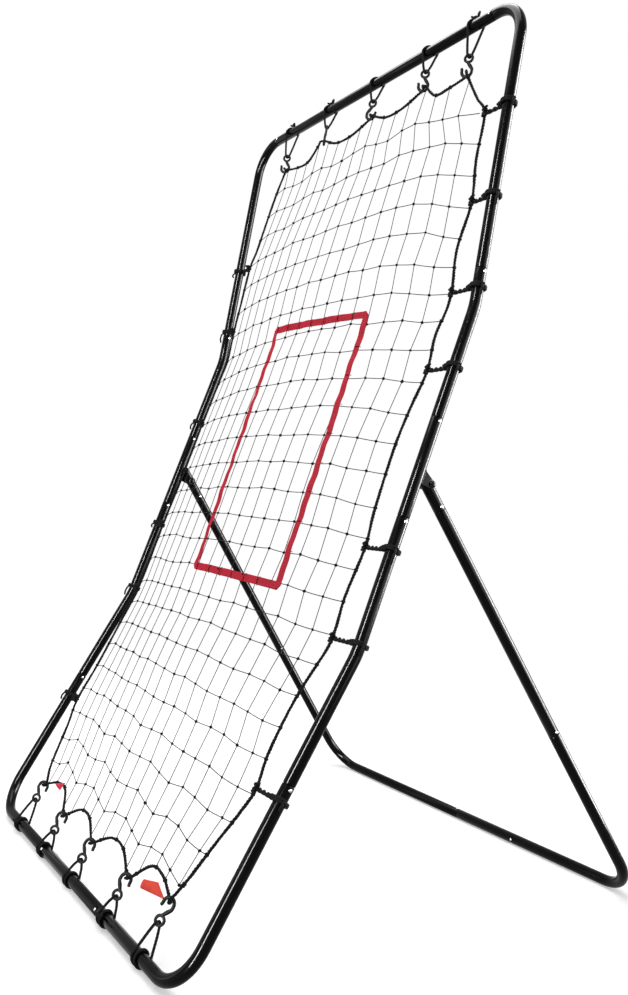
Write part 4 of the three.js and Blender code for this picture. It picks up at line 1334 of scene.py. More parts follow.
def build_loops(rails):
    """Braided elastic loops, some of them tied off in sight with a knot and two short tails."""
    radius = settings()[1].elastic_diameter / 2
    for hanger in all_hangers(rails):
        cordage = Cordage()
        cordage.cord(elastic_line(hanger, radius), radius, 10, closed=True)
        share = KNOTTED.get(hanger.name, 0)
        if share:
            beyond = -abs(hanger.rail - hanger.s) - rails.radius - 2 * radius
            knot_u = 0.003 if hanger.to_rail > 0 else 0.012
            out = beyond - 0.0022 if hanger.to_rail > 0 else -abs(hanger.rail - hanger.s) + 0.002
            w = 0.002 if hanger.to_rail > 0 else -rails.radius - 0.0045
            centre = hanger.place([(knot_u, out, w)])[0]
            up = rails.up(hanger.s) * hanger.to_rail
            line = knot_line(centre, ACROSS, up, LOOP_KNOT * share)
            cordage.cord(line, radius * 0.82, 8, closed=True)
            reach = LOOP_TAIL * share
            for way in (-1, 1):
                tail = [(knot_u, out, w), (knot_u + way * reach * 0.45, out - 0.003, w - 0.001),
                        (knot_u + way * reach, out - 0.0015 - 0.004 * (way > 0), w - 0.004),
                        (knot_u + way * reach * 1.25, out + 0.003 * way, w - 0.008)]
                tail = curve_through(hanger.place(tail), 0.0012)
                cordage.cord(tail, rounded_ends(tail, radius * 0.9), 8)
        obj = cordage.make(f"{hanger.name}_elastic")
        dress(obj, finish_named("elastic_cord"), "frame", "elastic_cord",
              f"{hanger.name}_elastic_loop")


# ---- border rope and side ties ----
# Where the rope runs, as (s up the rail, inset from the rail's centre-line), and which of these
# places are held by a tie.
RIGHT_ROPE = (
    (1.538, 0.105), (1.508, 0.084), (1.472, 0.058), (1.39, 0.06), (1.31, 0.053), (1.23, 0.071),
    (1.152, 0.066), (1.08, 0.079), (1.009, 0.068), (0.94, 0.079), (0.869, 0.085), (0.759, 0.08),
    (0.695, 0.071), (0.61, 0.079), (0.542, 0.075), (0.438, 0.09), (0.345, 0.086), (0.288, 0.07),
    (0.247, 0.078), (0.19, 0.097), (0.125, 0.117),
)
LEFT_ROPE = (
    (0.125, 0.112), (0.207, 0.079), (0.263, 0.051), (0.35, 0.047), (0.471, 0.031), (0.539, 0.026),
    (0.61, 0.027), (0.696, 0.024), (0.83, 0.027), (0.955, 0.024), (1.08, 0.027), (1.191, 0.031),
    (1.253, 0.039), (1.345, 0.051), (1.384, 0.07), (1.434, 0.087), (1.487, 0.105), (1.53, 0.122),
)
RIGHT_TIES = (1.472, 1.31, 1.152, 1.009, 0.695, 0.542, 0.288)
LEFT_TIES = (1.345, 1.191, 0.955, 0.696, 0.539, 0.263)
TOP_SCALLOP, BOTTOM_ARCH = 0.024, 0.034


def rope_inset(table, s):
    """How far the rope lies in from the rail's centre-line at height s."""
    places = sorted(table)
    return np.interp(s, [s0 for s0, _ in places], [inset for _, inset in places])


class RopeRoute:
    """The border rope's closed route through the ten bowls and the side ties."""

    def __init__(self, rails):
        self.rails = rails
        net = settings()[1]
        self.aside = net.hook_thickness / 2 + net.rope_diameter / 2 + 0.0012
        hangers = all_hangers(rails)
        flat = []
        flat += self._row(hangers[:5], 1, -TOP_SCALLOP)
        flat += [(rails.half - inset, s, 0) for s, inset in RIGHT_ROPE]
        flat += self._row(hangers[:4:-1], -1, BOTTOM_ARCH)
        flat += [(inset - rails.half, s, 0) for s, inset in LEFT_ROPE]
        self.flat = curve_through(flat, 0.004, closed=True)

    def _row(self, hangers, way, rise):
        """Route of the rope along one row of hooks, in the direction `way`."""
        made = []
        flank = 0.0058
        for i, hanger in enumerate(hangers):
            s, aside = hanger.seat(), -self.aside * way * math.copysign(1, HOOK_TURNS[hanger.name])
            edges = [(0.016, s - hanger.to_rail * 0.006, 0.5)] * 2
            if i == 0:
                edges[0] = (0.01, s - hanger.to_rail * 0.008, 0.9)
            if i == len(hangers) - 1:
                edges[1] = (0.01, s - hanger.to_rail * 0.008, 0.9)
            made.append((hanger.x - way * edges[0][0], edges[0][1], -aside * edges[0][2]))
            made.append((hanger.x - way * flank, s, -aside * 0.8))
            made.append((hanger.x + way * flank, s, aside * 0.8))
            made.append((hanger.x + way * edges[1][0], edges[1][1], aside * edges[1][2]))
            if i < len(hangers) - 1:
                after = hangers[i + 1]
                middle = (s + after.seat()) / 2
                for share in (0.35, 0.65):
                    x = hanger.x + (after.x - hanger.x) * share
                    made.append((x, middle + rise * 4 * share * (1 - share), 0))
        return made

    def line(self, step=0.0018):
        return evenly(self.rails.place(*self.flat.T), step, closed=True)

    def s_near(self, x, top):
        """Height s of the rope at x, along the row of hooks at the top or the bottom."""
        x = np.asarray(x, float)
        chosen = self.flat[(self.flat[:, 1] > 1.45) if top else (self.flat[:, 1] < 0.2)]
        order = np.argsort(chosen[:, 0])
        return np.interp(x, chosen[order, 0], chosen[order, 1])


TWIST_RADIUS, TWIST_PITCH = 0.0019, 0.011  # of a tie's two strands
ROPE_KNOT, INNER_KNOT, OUTER_KNOT = 0.0108, 0.0105, 0.0062


def tie_line(rails, side, s, inset, radius):
    """One side tie: a twisted pair from the rope that parts to go round the rail."""
    wrap = rails.radius + radius + 0.0003
    ring = np.linspace(-math.pi * 0.56, math.pi * 0.56, 11)
    around = [(inset + wrap * math.cos(a), wrap * math.sin(a), 0.0023 * (-a / 1.8)) for a in ring]
    start, end = 0.004, inset - 0.017
    pair = []
    if end > start + 0.004:
        turns = max(1, round((end - start) / TWIST_PITCH))
        for t in np.linspace(0, 1, 5 * turns):
            angle = math.pi * (0.5 + turns * t)
            pair.append((start + (end - start) * t, -TWIST_RADIUS * math.sin(angle),
                         TWIST_RADIUS * math.cos(angle)))
    back = [(u, -behind, -v) for u, behind, v in reversed(pair)]
    points = [(-0.0022, -0.0012, 0.0006)] + pair + around + back + [(-0.0022, 0.0012, -0.0006)]
    points = np.array(points)
    x = side * (rails.half - inset + points[:, 0])
    return curve_through(rails.place(x, s + points[:, 2], points[:, 1]), 0.0014, closed=True)


def build_ties(rails):
    """Thirteen side ties: knots at the rope and the rail, the wrap on the rail, loose ends."""
    radius = settings()[1].elastic_diameter / 2
    for name, side, table, ties in (("right", 1, RIGHT_ROPE, RIGHT_TIES),
                                    ("left", -1, LEFT_ROPE, LEFT_TIES)):
        for i, s in enumerate(ties):
            cordage = Cordage()
            inset = float(rope_inset(table, s))
            up = rails.up(s)
            cordage.cord(tie_line(rails, side, s, inset, radius), radius, 9, closed=True)
            band = radius + rails.radius + 0.0004
            turns = np.linspace(0, 4 * math.pi, 40)
            wound = rails.place(
                side * (rails.half + band * np.cos(turns)),
                s - 0.0032 + 0.0075 * turns / turns[-1],
                band * np.sin(turns),
            )
            wound = evenly(wound, 0.0016)
            cordage.cord(wound, rounded_ends(wound, radius), 8)
            rope_x = side * (rails.half - inset)
            for lobe in (-1, 1):
                place = rails.place(rope_x + side * 0.0034, s + lobe * 0.0042, -0.004)
                line = knot_line(place, ACROSS * side, up * lobe, ROPE_KNOT)
                cordage.cord(line, radius, 8, closed=True)
                reach = 0.009 + 0.009 * ((i * 3 + lobe) % 3 == 0)
                end = np.array([
                    (0.0034, lobe * 0.005, -0.005), (0.0075, lobe * reach * 0.7, -0.008),
                    (0.012, lobe * reach, -0.005),
                ])
                end = rails.place(rope_x + side * end[:, 0], s + end[:, 1], end[:, 2])
                end = curve_through(end, 0.0012)
                cordage.cord(end, rounded_ends(end, radius * 0.9), 8)
            inner = rails.place(side * (rails.half - rails.radius - 0.007), s + 0.001, -0.005)
            line = knot_line(inner, ACROSS * side, up, INNER_KNOT)
            cordage.cord(line, radius, 8, closed=True)
            outer = side * (rails.half + rails.radius + 2 * radius)
            knot = rails.place(outer + side * 0.0015, s + 0.001, -0.004)
            line = knot_line(knot, ACROSS * side, up, OUTER_KNOT)
            cordage.cord(line, radius * 0.8, 8, closed=True)
            hang = 0.012 + 0.006 * ((i * 5) % 3)
            tail = [(outer, s, -0.004), (outer + side * 0.004, s - 0.003, -0.007),
                    (outer + side * 0.005, s - hang * 0.6, -0.008),
                    (outer + side * 0.0025, s - hang, -0.006)]
            tail = curve_through(rails.place(*np.array(tail).T), 0.0012)
            cordage.cord(tail, rounded_ends(tail, radius * 0.85), 8)
            obj = cordage.make(f"{name}_tie_{i + 1}")
            dress(obj, finish_named("elastic_cord"), "frame", "elastic_cord")


STRANDS = 3
STRAND_SHARE = 0.24  # a strand's radius, as a share of the rope's diameter
FIBRES = 1500


def build_rope(rails):
    """Real strands laid round the route, with loose fibres, a third of them where it is worn."""
    net = settings()[1]
    route = RopeRoute(rails).line()
    ways, normals, sideways = carried(route, closed=True)
    steps = np.linalg.norm(np.roll(route, -1, axis=0) - route, axis=1)
    along = np.concatenate([[0], np.cumsum(steps)[:-1]])
    turns = round(steps.sum() / net.rope_lay)
    cordage = Cordage()
    strand = net.rope_diameter * STRAND_SHARE
    wander = 1 + 0.12 * np.sin(along * 61) + 0.1 * np.sin(along * 143 + 1.3)
    for k in range(STRANDS):
        angle = FULL_TURN * (turns * along / steps.sum() + k / STRANDS)
        offset = np.cos(angle)[:, None] * normals + np.sin(angle)[:, None] * sideways
        line = route + offset * (net.rope_diameter / 2 - strand) * wander[:, None]
        cordage.cord(line, strand * (1.02 + 0.08 * np.sin(along * 37 + 2 * k)), 7, closed=True)
    obj = cordage.make("border_rope")
    dress(obj, finish_named("border_rope"), "frame", "border_rope", "border_rope_with_ties")

    random = np.random.default_rng(7)
    fuzz = Cordage()
    worn = np.flatnonzero((route[:, 0] > 0.3) & (route[:, 2] < 0.27))
    for n in range(FIBRES):
        i = random.integers(len(route)) if n % 3 else random.choice(worn)
        angle = random.uniform(0, 2 * math.pi)
        out = np.cos(angle) * normals[i] + np.sin(angle) * sideways[i]
        lean_on = ways[i] * random.uniform(-1, 1)
        root = route[i] + out * net.rope_diameter * 0.42
        reach = random.uniform(0.0012, 0.0034)
        fuzz.cord([root, root + (out * 0.7 + lean_on) * reach * 0.6,
                   root + (out * 0.9 + lean_on * 1.7) * reach], [0.00011, 0.00009, 0.00004], 3)
    obj = fuzz.make("border_rope_fibres")
    dress(obj, finish_named("border_rope"), "frame", "border_rope")


# ---- net ----
# Rows in the middle of the net: the first one's height and cell, how much each cell adds to the
# last, and the cells above the row where they stop growing.
FIRST_ROW, FIRST_CELL, CELL_GROWTH = 0.131, 0.0515, 0.00021
LAST_GROWING, TOP_CELL = 18, 0.056
KNOT_JITTER = 0.0012


class Net:
    """Where the net's knots are, on the surface that the ball meets."""

    def __init__(self, rails):
        self.rails, self.sizes = rails, settings()[1]
        self.route = RopeRoute(rails)
        self.bottom_rope = BOTTOM_RISES[0] + HOOK_SEAT
        self.top_rope = rails.end - TOP_DROPS[0] - HOOK_SEAT

    def edges(self, s):
        left = rope_inset(LEFT_ROPE, s) - self.rails.half
        right = self.rails.half - rope_inset(RIGHT_ROPE, s)
        return left, right

    def swell(self, x, s):
        """How far the net stands forward of the rails."""
        left, right = self.edges(s)
        off = np.clip(np.abs((2 * x - left - right) / (right - left)), 0, 1)
        rise = np.clip((s - self.bottom_rope) / self.sizes.bulge_rise, 0, 1)
        fall = np.clip((self.top_rope - s) / self.sizes.bulge_fall, 0, 1)
        return self.sizes.bulge * (1 - off**2) * np.minimum(rise, 1 - (1 - fall) ** 1.5)

    def place(self, x, s, forward=0.0):
        return self.rails.place(x, s, -self.swell(x, s) - forward)

    def row_heights(self):
        """Heights of the rows in the middle: cells grow from the bottom up."""
        k = np.arange(self.sizes.rows)
        growing = FIRST_ROW + FIRST_CELL * k + CELL_GROWTH * k * (k - 1)
        even = growing[LAST_GROWING] + TOP_CELL * (k - LAST_GROWING)
        return np.where(k <= LAST_GROWING, growing, even)

    def row_sag(self, x, s):
        """Rows tilt and bow a little, and follow the rope's arches near both ends."""
        left, right = self.edges(s)
        off = (2 * x - left - right) / (right - left)
        tilt = np.interp(s, [0.13, 0.45, 0.6, 0.8, 1.0, 1.127, 1.3, 1.4, 1.52],
                         [0.011, 0.011, 0.005, 0.0025, 0.005, 0.007, 0.01, 0.01, 0.005])
        bow = np.interp(s, [0.9, 1.0, 1.127, 1.234, 1.32], [0, 0.006, 0.011, 0.005, 0])
        low = 0.016 * np.exp(-(s - 0.135) / 0.15) * (self.wave(x, BOTTOM_HOOKS, 0.66) - 0.5)
        high = 0.011 * np.exp(-(self.top_rope - 0.0527 - s) / 0.09) * (
            0.5 - self.wave(x, TOP_HOOKS, 1.0)
        )
        drop = self.right_drop(s) * np.clip((off - 0.6) / 0.4, 0, 1) ** 1.5
        return -tilt * off - bow * off**2 + low + high - drop

    @staticmethod
    def right_drop(s):
        """How far the right ties pull the ends of the rows down."""
        return np.interp(s, [0.45, 0.7, 0.95, 1.1, 1.3], [0, 0.01, 0.014, 0.004, 0.038])

    @staticmethod
    def wave(x, hooks, warp):
        """0 at each hook and 1 between two of them."""
        places = np.array([-0.45] + [x0 for x0, _ in hooks] + [0.45])
        i = np.clip(np.searchsorted(places, x) - 1, 0, len(places) - 2)
        share = np.clip((x - places[i]) / (places[i + 1] - places[i]), 0, 1) ** warp
        return np.sin(math.pi * share) ** 2

    def column_x(self, i, s):
        """x of a column at height s; low down the cells next to the right rope are narrower."""
        left = np.interp(
            s,
            [0.135, 0.185, 0.25, 0.4, 0.54, 0.7, 0.955,
             1.1, 1.191, 1.345, 1.384, 1.434, 1.487, 1.53],
            [-0.342, -0.362, -0.394, -0.408, -0.424, -0.427, -0.428,
             -0.43, -0.421, -0.399, -0.38, -0.364, -0.345, -0.328],
        )
        rope = self.rails.half - rope_inset(RIGHT_ROPE, s)
        low = np.interp(s, [0.135, 0.185, 0.235, 0.29, 0.34, 0.38],
                        [0.361, 0.369, 0.383, 0.383, 0.379, 0.366])
        right = np.where(s < 0.38, np.maximum(low, rope), rope)
        return left + (right - left) * (i + 1) / (self.sizes.columns + 1)

    def knots(self):
        """x and s of every knot, by row and column."""
        rows, columns = self.sizes.rows, self.sizes.columns
        random = np.random.default_rng(3)
        x = np.empty((rows, columns))
        s = np.empty((rows, columns))
        for k, height in enumerate(self.row_heights()):
            for i in range(columns):
                x[k, i] = self.column_x(i, height)
            s[k] = height + self.row_sag(x[k], height)
        x += random.normal(0, KNOT_JITTER, x.shape)
        s += random.normal(0, KNOT_JITTER, s.shape)
        return x, s

    def span(self, start, end, cuts, sag=0.0):
        """Twine from one (x, s) to another, straight in space but for a little sag."""
        (x0, s0), (x1, s1) = start, end
        first, last = self.place(x0, s0), self.place(x1, s1)
        t = np.linspace(0, 1, cuts + 1)[:-1, None]
        return first + (last - first) * t + np.array([0, 0, -sag]) * 4 * t * (1 - t)


def pebble(sides=8, rings=4):
    """Low round shape for the knots: points and faces of a small closed ball."""
    points = [(0, 0, -1)]
    for j in range(1, rings):
        tilt = math.pi * j / rings
        for i in range(sides):
            turn = 2 * math.pi * i / sides
            points.append((math.sin(tilt) * math.cos(turn), math.sin(tilt) * math.sin(turn),
                           -math.cos(tilt)))
    points.append((0, 0, 1))
    faces = [(0, 1 + (i + 1) % sides, 1 + i) for i in range(sides)]
    for j in range(rings - 2):
        low, high = 1 + j * sides, 1 + (j + 1) * sides
        for i in range(sides):
            n = (i + 1) % sides
            faces.append((low + i, low + n, high + n, high + i))
    low, tip = 1 + (rings - 2) * sides, len(points) - 1
    faces += [(low + i, low + (i + 1) % sides, tip) for i in range(sides)]
    return np.array(points), faces


def build_net(rails):
    """Knotted twine: rows and columns from rope to rope, a knot at each crossing."""
    net = Net(rails)
    sizes = net.sizes
    x, s = net.knots()
    rows, columns = x.shape
    radius = sizes.twine_diameter / 2
    twine, knots = Cordage(), Cordage()
    random = np.random.default_rng(11)
    ball, ball_faces = pebble()
    ends = []

    for k in range(rows):
        left, right = net.edges(s[k, [0, -1]])
        at_right = s[k, -1] - 0.4 * net.right_drop(s[k, -1]) + 0.002
        stops = [(left[0], s[k, 0] - 0.004)] + list(zip(x[k], s[k])) + [(right[1], at_right)]
        line = [net.span(a, b, 3, 0.0004) for a, b in zip(stops, stops[1:])]
        line.append(net.place(*stops[-1])[None])
        twine.cord(np.concatenate(line), radius * 1.06, 5)
        ends += [stops[0], stops[-1]]
    for i in range(columns):
        low_x, high_x = x[0, i], x[-1, i]
        low_x = keep_clear(low_x, BOTTOM_HOOKS)
        high_x = keep_clear(high_x, TOP_HOOKS)
        stops = [(low_x, net.route.s_near(low_x, False))] + list(zip(x[:, i], s[:, i]))
        stops.append((high_x, net.route.s_near(high_x, True)))
        line = [net.span(a, b, 3) for a, b in zip(stops, stops[1:])]
        line.append(net.place(*stops[-1])[None])
        twine.cord(np.concatenate(line), radius * 0.94, 5)
        ends += [stops[0], stops[-1]]
    for k in range(rows):
        for i in range(columns):
            size = sizes.knot_diameter / 2 * random.uniform(0.85, 1.12)
            turn = Quaternion(random.normal(size=3).tolist(), random.uniform(0, 3))
            spread = np.array(turn.to_matrix()) * np.array([1.12, 0.86, 0.95])
            knots.shape(net.place(x[k, i], s[k, i]) + ball @ spread.T * size, ball_faces)
    for points, faces in twine_wraps(rails, ends):
        knots.shape(points, faces)
    dress(twine.make("net_twines"), finish_named("net_twine"), "frame", "net_twine", "net")
    dress(knots.make("net_knots"), finish_named("net_knots"), "frame", "net_twine")


def keep_clear(x, hooks, room=0.0135):
    """Moves a twine's end sideways off the hook that it would run into."""
    for hook, _ in hooks:
        if abs(x - hook) < room:
            return hook + (room if x >= hook else -room)
    return x


def twine_wraps(rails, ends):
    """A tight turn of twine round the rope where each twine ends on it."""
    net = settings()[1]
    route = RopeRoute(rails).line()
    ways, normals, sideways = carried(route, closed=True)
    major, minor = net.rope_diameter * 0.5, net.twine_diameter * 0.8
    made = []
    around, section = 9, 5
    for x, s in ends:
        place = rails.place(x, s)
        i = int(np.argmin(((route - place) ** 2).sum(axis=1)))
        points, faces = [], []
        for a in range(around):
            turn = 2 * math.pi * a / around
            out = math.cos(turn) * normals[i] + math.sin(turn) * sideways[i]
            for b in range(section):
                tilt = 2 * math.pi * b / section
                points.append(route[i] + out * (major + minor * math.cos(tilt))
                              + ways[i] * minor * 1.5 * math.sin(tilt))
                c, d = (a + 1) % around, (b + 1) % section
                faces.append((c * section + b, c * section + d, a * section + d, a * section + b))
        made.append((points, faces))
    return made


# ---- strike zone and tags ----
# Corners of the strike zone's centre-line as (x, s), from the bottom left to the right and up.
ZONE_CORNERS = ((-0.1003, 0.6079), (0.2072, 0.6013), (0.1845, 1.1347), (-0.137, 1.1456))


def grid_faces(rows, lanes):
    """Four-sided faces of a grid of points that is stored row after row."""
    corners = [i * (lanes + 1) + j for i in range(rows) for j in range(lanes)]
    return [(a, a + lanes + 1, a + lanes + 2, a + 1) for a in corners]


def strap_grid(net, start, end, width, lift, seed):
    """Points, UVs and faces of one strap, which runs past both corners by half its width."""
    start, end = np.array(start), np.array(end)
    way = (end - start) / np.linalg.norm(end - start)
    side = np.array([-way[1], way[0]])
    cuts, lanes = 150, 6
    random = np.random.default_rng(seed)
    phases = random.uniform(0, FULL_TURN, 5)
    points, uvs = [], []
    span = np.linalg.norm(end - start)
    for i in range(cuts + 1):
        t = i / cuts
        for j in range(lanes + 1):
            lane = (j / lanes - 0.5) * width
            low, high = start - way * (width / 2), end + way * (width / 2)
            flat = low + (high - low) * t + side * lane
            run = t * span
            ripple = (
                0.0007 * math.sin(run * 74 + phases[0]) + 0.0005 * math.sin(run * 163 + phases[1])
                + 0.0004 * math.sin(run * 41 + lane * 180 + phases[2])
            )
            sideways = (
                0.0003 * math.sin(run * 29 + phases[3]) + 0.0002 * math.sin(run * 88 + phases[4])
            )
            flat = flat + side * sideways * math.sin(math.pi * t)
            points.append(net.place(flat[0], flat[1], lift + ripple))
            uvs.append((run, j / lanes))
    return points, uvs, grid_faces(cuts, lanes)


def tape(name, parts, thickness):
    """One woven piece from several straps: a sheet given its thickness, with eased edges."""
    points, uvs, faces = [], [], []
    for part_points, part_uvs, part_faces in parts:
        base = len(points)
        points += part_points
        uvs += part_uvs
        faces += [tuple(i + base for i in face) for face in part_faces]
    mesh = bpy.data.meshes.new(name)
    mesh.from_pydata([tuple(map(float, point)) for point in points], [], faces)
    layer = mesh.uv_layers.new(name="cord")
    flat = [uvs[i] for face in faces for i in face]
    layer.data.foreach_set("uv", np.array(flat, float).ravel())
    obj = add_to_scene(name, mesh)
    modify(obj, "SOLIDIFY", thickness=thickness, offset=0)
    ease_edges(obj, thickness * 0.3, 60)
    smooth(obj, 50)
    return obj


def build_strike_zone(rails):
    """Crimson tape sewn on the front of the net, folded over at its corners."""
    net = Net(rails)
    sizes = net.sizes
    width, thick = sizes.webbing_width, sizes.webbing_thickness
    near, far = thick / 2 + 0.0011, thick * 1.5 + 0.0014
    starts, ends = ZONE_CORNERS, ZONE_CORNERS[1:] + ZONE_CORNERS[:1]
    parts = [
        strap_grid(net, start, end, width, lift, seed)
        for start, end, lift, seed in zip(starts, ends, (near, far, near, far), (1, 2, 3, 4))
    ]
    obj = tape("strike_zone_tape", parts, thick)
    dress(obj, finish_named("red_webbing"), "frame", "red_webbing", "strike_zone_webbing")
    fold_corners(obj, net)
    build_zone_knots(net)


def fold_corners(obj, net):
    """Takes the tape's outer corners off at 45 degrees, where it is folded over."""
    rails, width = net.rails, net.sizes.webbing_width
    middle = np.mean(ZONE_CORNERS, axis=0)
    for x, s in ZONE_CORNERS:
        out = np.array([np.sign(x - middle[0]), np.sign(s - middle[1])]) / math.sqrt(2)
        centre = Vector(net.place(x, s))
        toward = Vector((out[0], 0, 0)) + rails.up(s) * out[1]
        plane = centre + toward * width * 0.27
        select_points(obj, lambda place, centre=centre: (place - centre).length < width * 1.6)
        bpy.ops.mesh.bisect(plane_co=plane, plane_no=toward, clear_outer=True, use_fill=True)
        bpy.ops.mesh.select_mode(type="FACE")
        bpy.ops.object.mode_set(mode="OBJECT")


def build_zone_knots(net):
    """Dark lashings of twine that hold the tape to the net along its straps."""
    x = net.knots()[0]
    radius = net.sizes.twine_diameter * 0.42
    half = net.sizes.webbing_width / 2
    lift = net.sizes.webbing_thickness * 2 + 0.0016
    lashings = Cordage()
    low_left, low_right, high_right, high_left = ZONE_CORNERS
    straps = [(low_left, low_right), (high_left, high_right),
              (low_left, high_left), (low_right, high_right)]
    for n, ((ax, a_s), (bx, b_s)) in enumerate(straps):
        level = n < 2
        lines = x.mean(axis=0) if level else net.row_heights()
        span = (ax, bx) if level else (a_s, b_s)
        for value in lines:
            share = (value - span[0]) / (span[1] - span[0])
            if not 0.06 < share < 0.94:
                continue
            cx, cs = ax + (bx - ax) * share, a_s + (b_s - a_s) * share
            reach = half + 0.001
            over = np.array([0, reach]) if level else np.array([reach, 0])
            start, end = np.array([cx, cs]) - over, np.array([cx, cs]) + over
            t = np.linspace(0, 1, 9)[:, None]
            flat = start + (end - start) * t
            rise = lift * np.sin(math.pi * t[:, 0]) ** 0.35
            line = net.place(flat[:, 0], flat[:, 1], rise)
            lashings.cord(line, radius, 5)
    obj = lashings.make("strike_zone_lashings")
    dress(obj, finish_named("net_knots"), "frame", "net_twine")


TAG_THICKNESS = 0.0006
TAG_BEHIND = -0.004  # both hang in front of the rope
# Each tag's corners as (x, s): bottom left, bottom right, top right, top left.
TAG_CORNERS = {
    "orange_tag": ((0.2294, 0.0707), (0.3101, 0.0832), (0.27, 0.0955), (0.2268, 0.0846)),
    "pink_tag": ((-0.228, 0.0985), (-0.2225, 0.0991), (-0.2184, 0.1161), (-0.2603, 0.1021)),
}


def build_tag(rails, name, corners):
    """A small sewn tag: its four (x, s) corners, hung from the border rope."""
    cuts = 12
    (ax, a_s), (bx, b_s), (cx, c_s), (dx, d_s) = corners
    points, uvs = [], []
    for i in range(cuts + 1):
        v = i / cuts
        for j in range(cuts + 1):
            u = j / cuts
            low = np.array([ax + (bx - ax) * u, a_s + (b_s - a_s) * u])
            high = np.array([dx + (cx - dx) * u, d_s + (c_s - d_s) * u])
            x, s = low + (high - low) * v
            curl = TAG_BEHIND - 0.0025 * math.sin(math.pi * (1 - v)) * (0.6 + 0.4 * math.sin(5 * u))
            points.append(rails.place(x, s, curl))
            uvs.append((v * 0.03, u))
    faces = [face[:1] + face[:0:-1] for face in grid_faces(cuts, cuts)]
    obj = tape(name, [(points, uvs, faces)], TAG_THICKNESS)
    dress(obj, finish_named(name), "frame", "red_webbing")
    top_edge = unit(np.subtract(corners[2], corners[3]))
    width = max(math.dist(corners[0], corners[1]), math.dist(corners[3], corners[2]))
    falls = [np.subtract(corner, corners[3]) for corner in corners[:2]]
    height = max(abs(float(top_edge[0] * fall[1] - top_edge[1] * fall[0])) for fall in falls)


def build_tags(rails):
    for name, corners in TAG_CORNERS.items():
        build_tag(rails, name, corners)


# ---- studio ----
FOCAL_PIXELS, IMAGE_WIDTH, IMAGE_HEIGHT = 970, 628, 995
PRINCIPAL_POINT = (277.0, 474.05)  # pixels, where the camera's axis meets the photograph
CAMERA_FROM_RAIL = Vector((1.6491, -0.57282, 0.68438))  # from the bottom rail's middle
CAMERA_AZIMUTH, CAMERA_RISE, CAMERA_ROLL = (math.radians(a) for a in (59.783, 1.25, 2.094))


def add_camera():
    """Camera at the place that the photograph's lines give, with its shift and roll."""
    azimuth, rise, roll = CAMERA_AZIMUTH, CAMERA_RISE, CAMERA_ROLL
    ahead = Vector((-math.sin(azimuth) * math.cos(rise), math.cos(azimuth) * math.cos(rise),
                    math.sin(rise)))
    right = Vector((math.cos(azimuth), math.sin(azimuth), 0))
    up = right.cross(ahead)
    rolled_right = right * math.cos(roll) + up * math.sin(roll)
    rolled_up = up * math.cos(roll) - right * math.sin(roll)
    data = bpy.data.cameras.new("camera")
    data.sensor_width = 36
    data.lens = FOCAL_PIXELS * data.sensor_width / IMAGE_HEIGHT
    data.shift_x = (IMAGE_WIDTH / 2 - PRINCIPAL_POINT[0]) / IMAGE_HEIGHT
    data.shift_y = (PRINCIPAL_POINT[1] - IMAGE_HEIGHT / 2) / IMAGE_HEIGHT
    data.clip_start, data.clip_end = 0.05, 50
    camera = add_to_scene("camera", data)
    place = Vector((0, BOTTOM_RAIL.y, BOTTOM_RAIL.z)) + CAMERA_FROM_RAIL
    camera.matrix_world = axes(rolled_right, rolled_up, -ahead, place)
    bpy.context.scene.camera = camera


def add_lamp(name, place, target, width, height, power, lights_all):
    """A rectangular lamp; one that doesn't light all shows only as a highlight on gloss."""
    data = bpy.data.lights.new(name, "AREA")
    data.shape, data.size, data.size_y, data.energy = "RECTANGLE", width, height, power
    lamp = add_to_scene(name, data)
    lamp.visible_diffuse = lights_all
    lamp.matrix_world = standing(Vector(place) - Vector(target), Vector(place))


def add_world():
    """White surround for what the camera, gloss and glass see; a plain level as a light."""
    studio = settings()[3]
    world = bpy.data.worlds.new("white_surround")
    bpy.context.scene.world = world
    world.use_nodes = True
    tree = world.node_tree
    tree.nodes.clear()
    rays = tree.nodes.new("ShaderNodeLightPath")
    seen = rays.outputs["Is Camera Ray"]
    for kind in ("Is Glossy Ray", "Is Transmission Ray"):
        either = tree.nodes.new("ShaderNodeMath")
        either.operation = "MAXIMUM"
        tree.links.new(seen, either.inputs[0])
        tree.links.new(rays.outputs[kind], either.inputs[1])
        seen = either.outputs[0]
    strength = tree.nodes.new("ShaderNodeMapRange")
    strength.inputs["To Min"].default_value = studio.sky
    tree.links.new(seen, strength.inputs["Value"])
    white = tree.nodes.new("ShaderNodeBackground")
    tree.links.new(strength.outputs[0], white.inputs["Strength"])
    white.inputs["Color"].default_value = (1, 1, 1, 1)
    out = tree.nodes.new("ShaderNodeOutputWorld")
    tree.links.new(white.outputs[0], out.inputs[0])


def floor_finish():
    """Pale floor that fades into the surround and shows white wherever no shadow falls."""
    *_, colours, studio = settings()
    finish = Finish("studio_floor")
    place = finish.position()
    across_it = finish.node("ShaderNodeVectorMath", {"operation": "LENGTH"}, {0: place}, output=1)
    rays = finish.node("ShaderNodeLightPath", output="Is Camera Ray")
    glossy = finish.node("ShaderNodeLightPath", output="Is Glossy Ray")
    speck = finish.noise(40, 3)
    fade = finish.between(across_it, studio.floor_radius * 0.45, studio.floor_radius * 0.95, 1, 0)
    finish.set(base_color=finish.blend(speck * 0.15, colours.floor, shade(colours.floor, 0.95)),
               roughness=0.9, specular=0.0, alpha=fade,
               glow=finish.blend(rays.larger(glossy), (0, 0, 0), (studio.floor_glow,) * 3),
               glow_strength=1.0)
    return finish.material


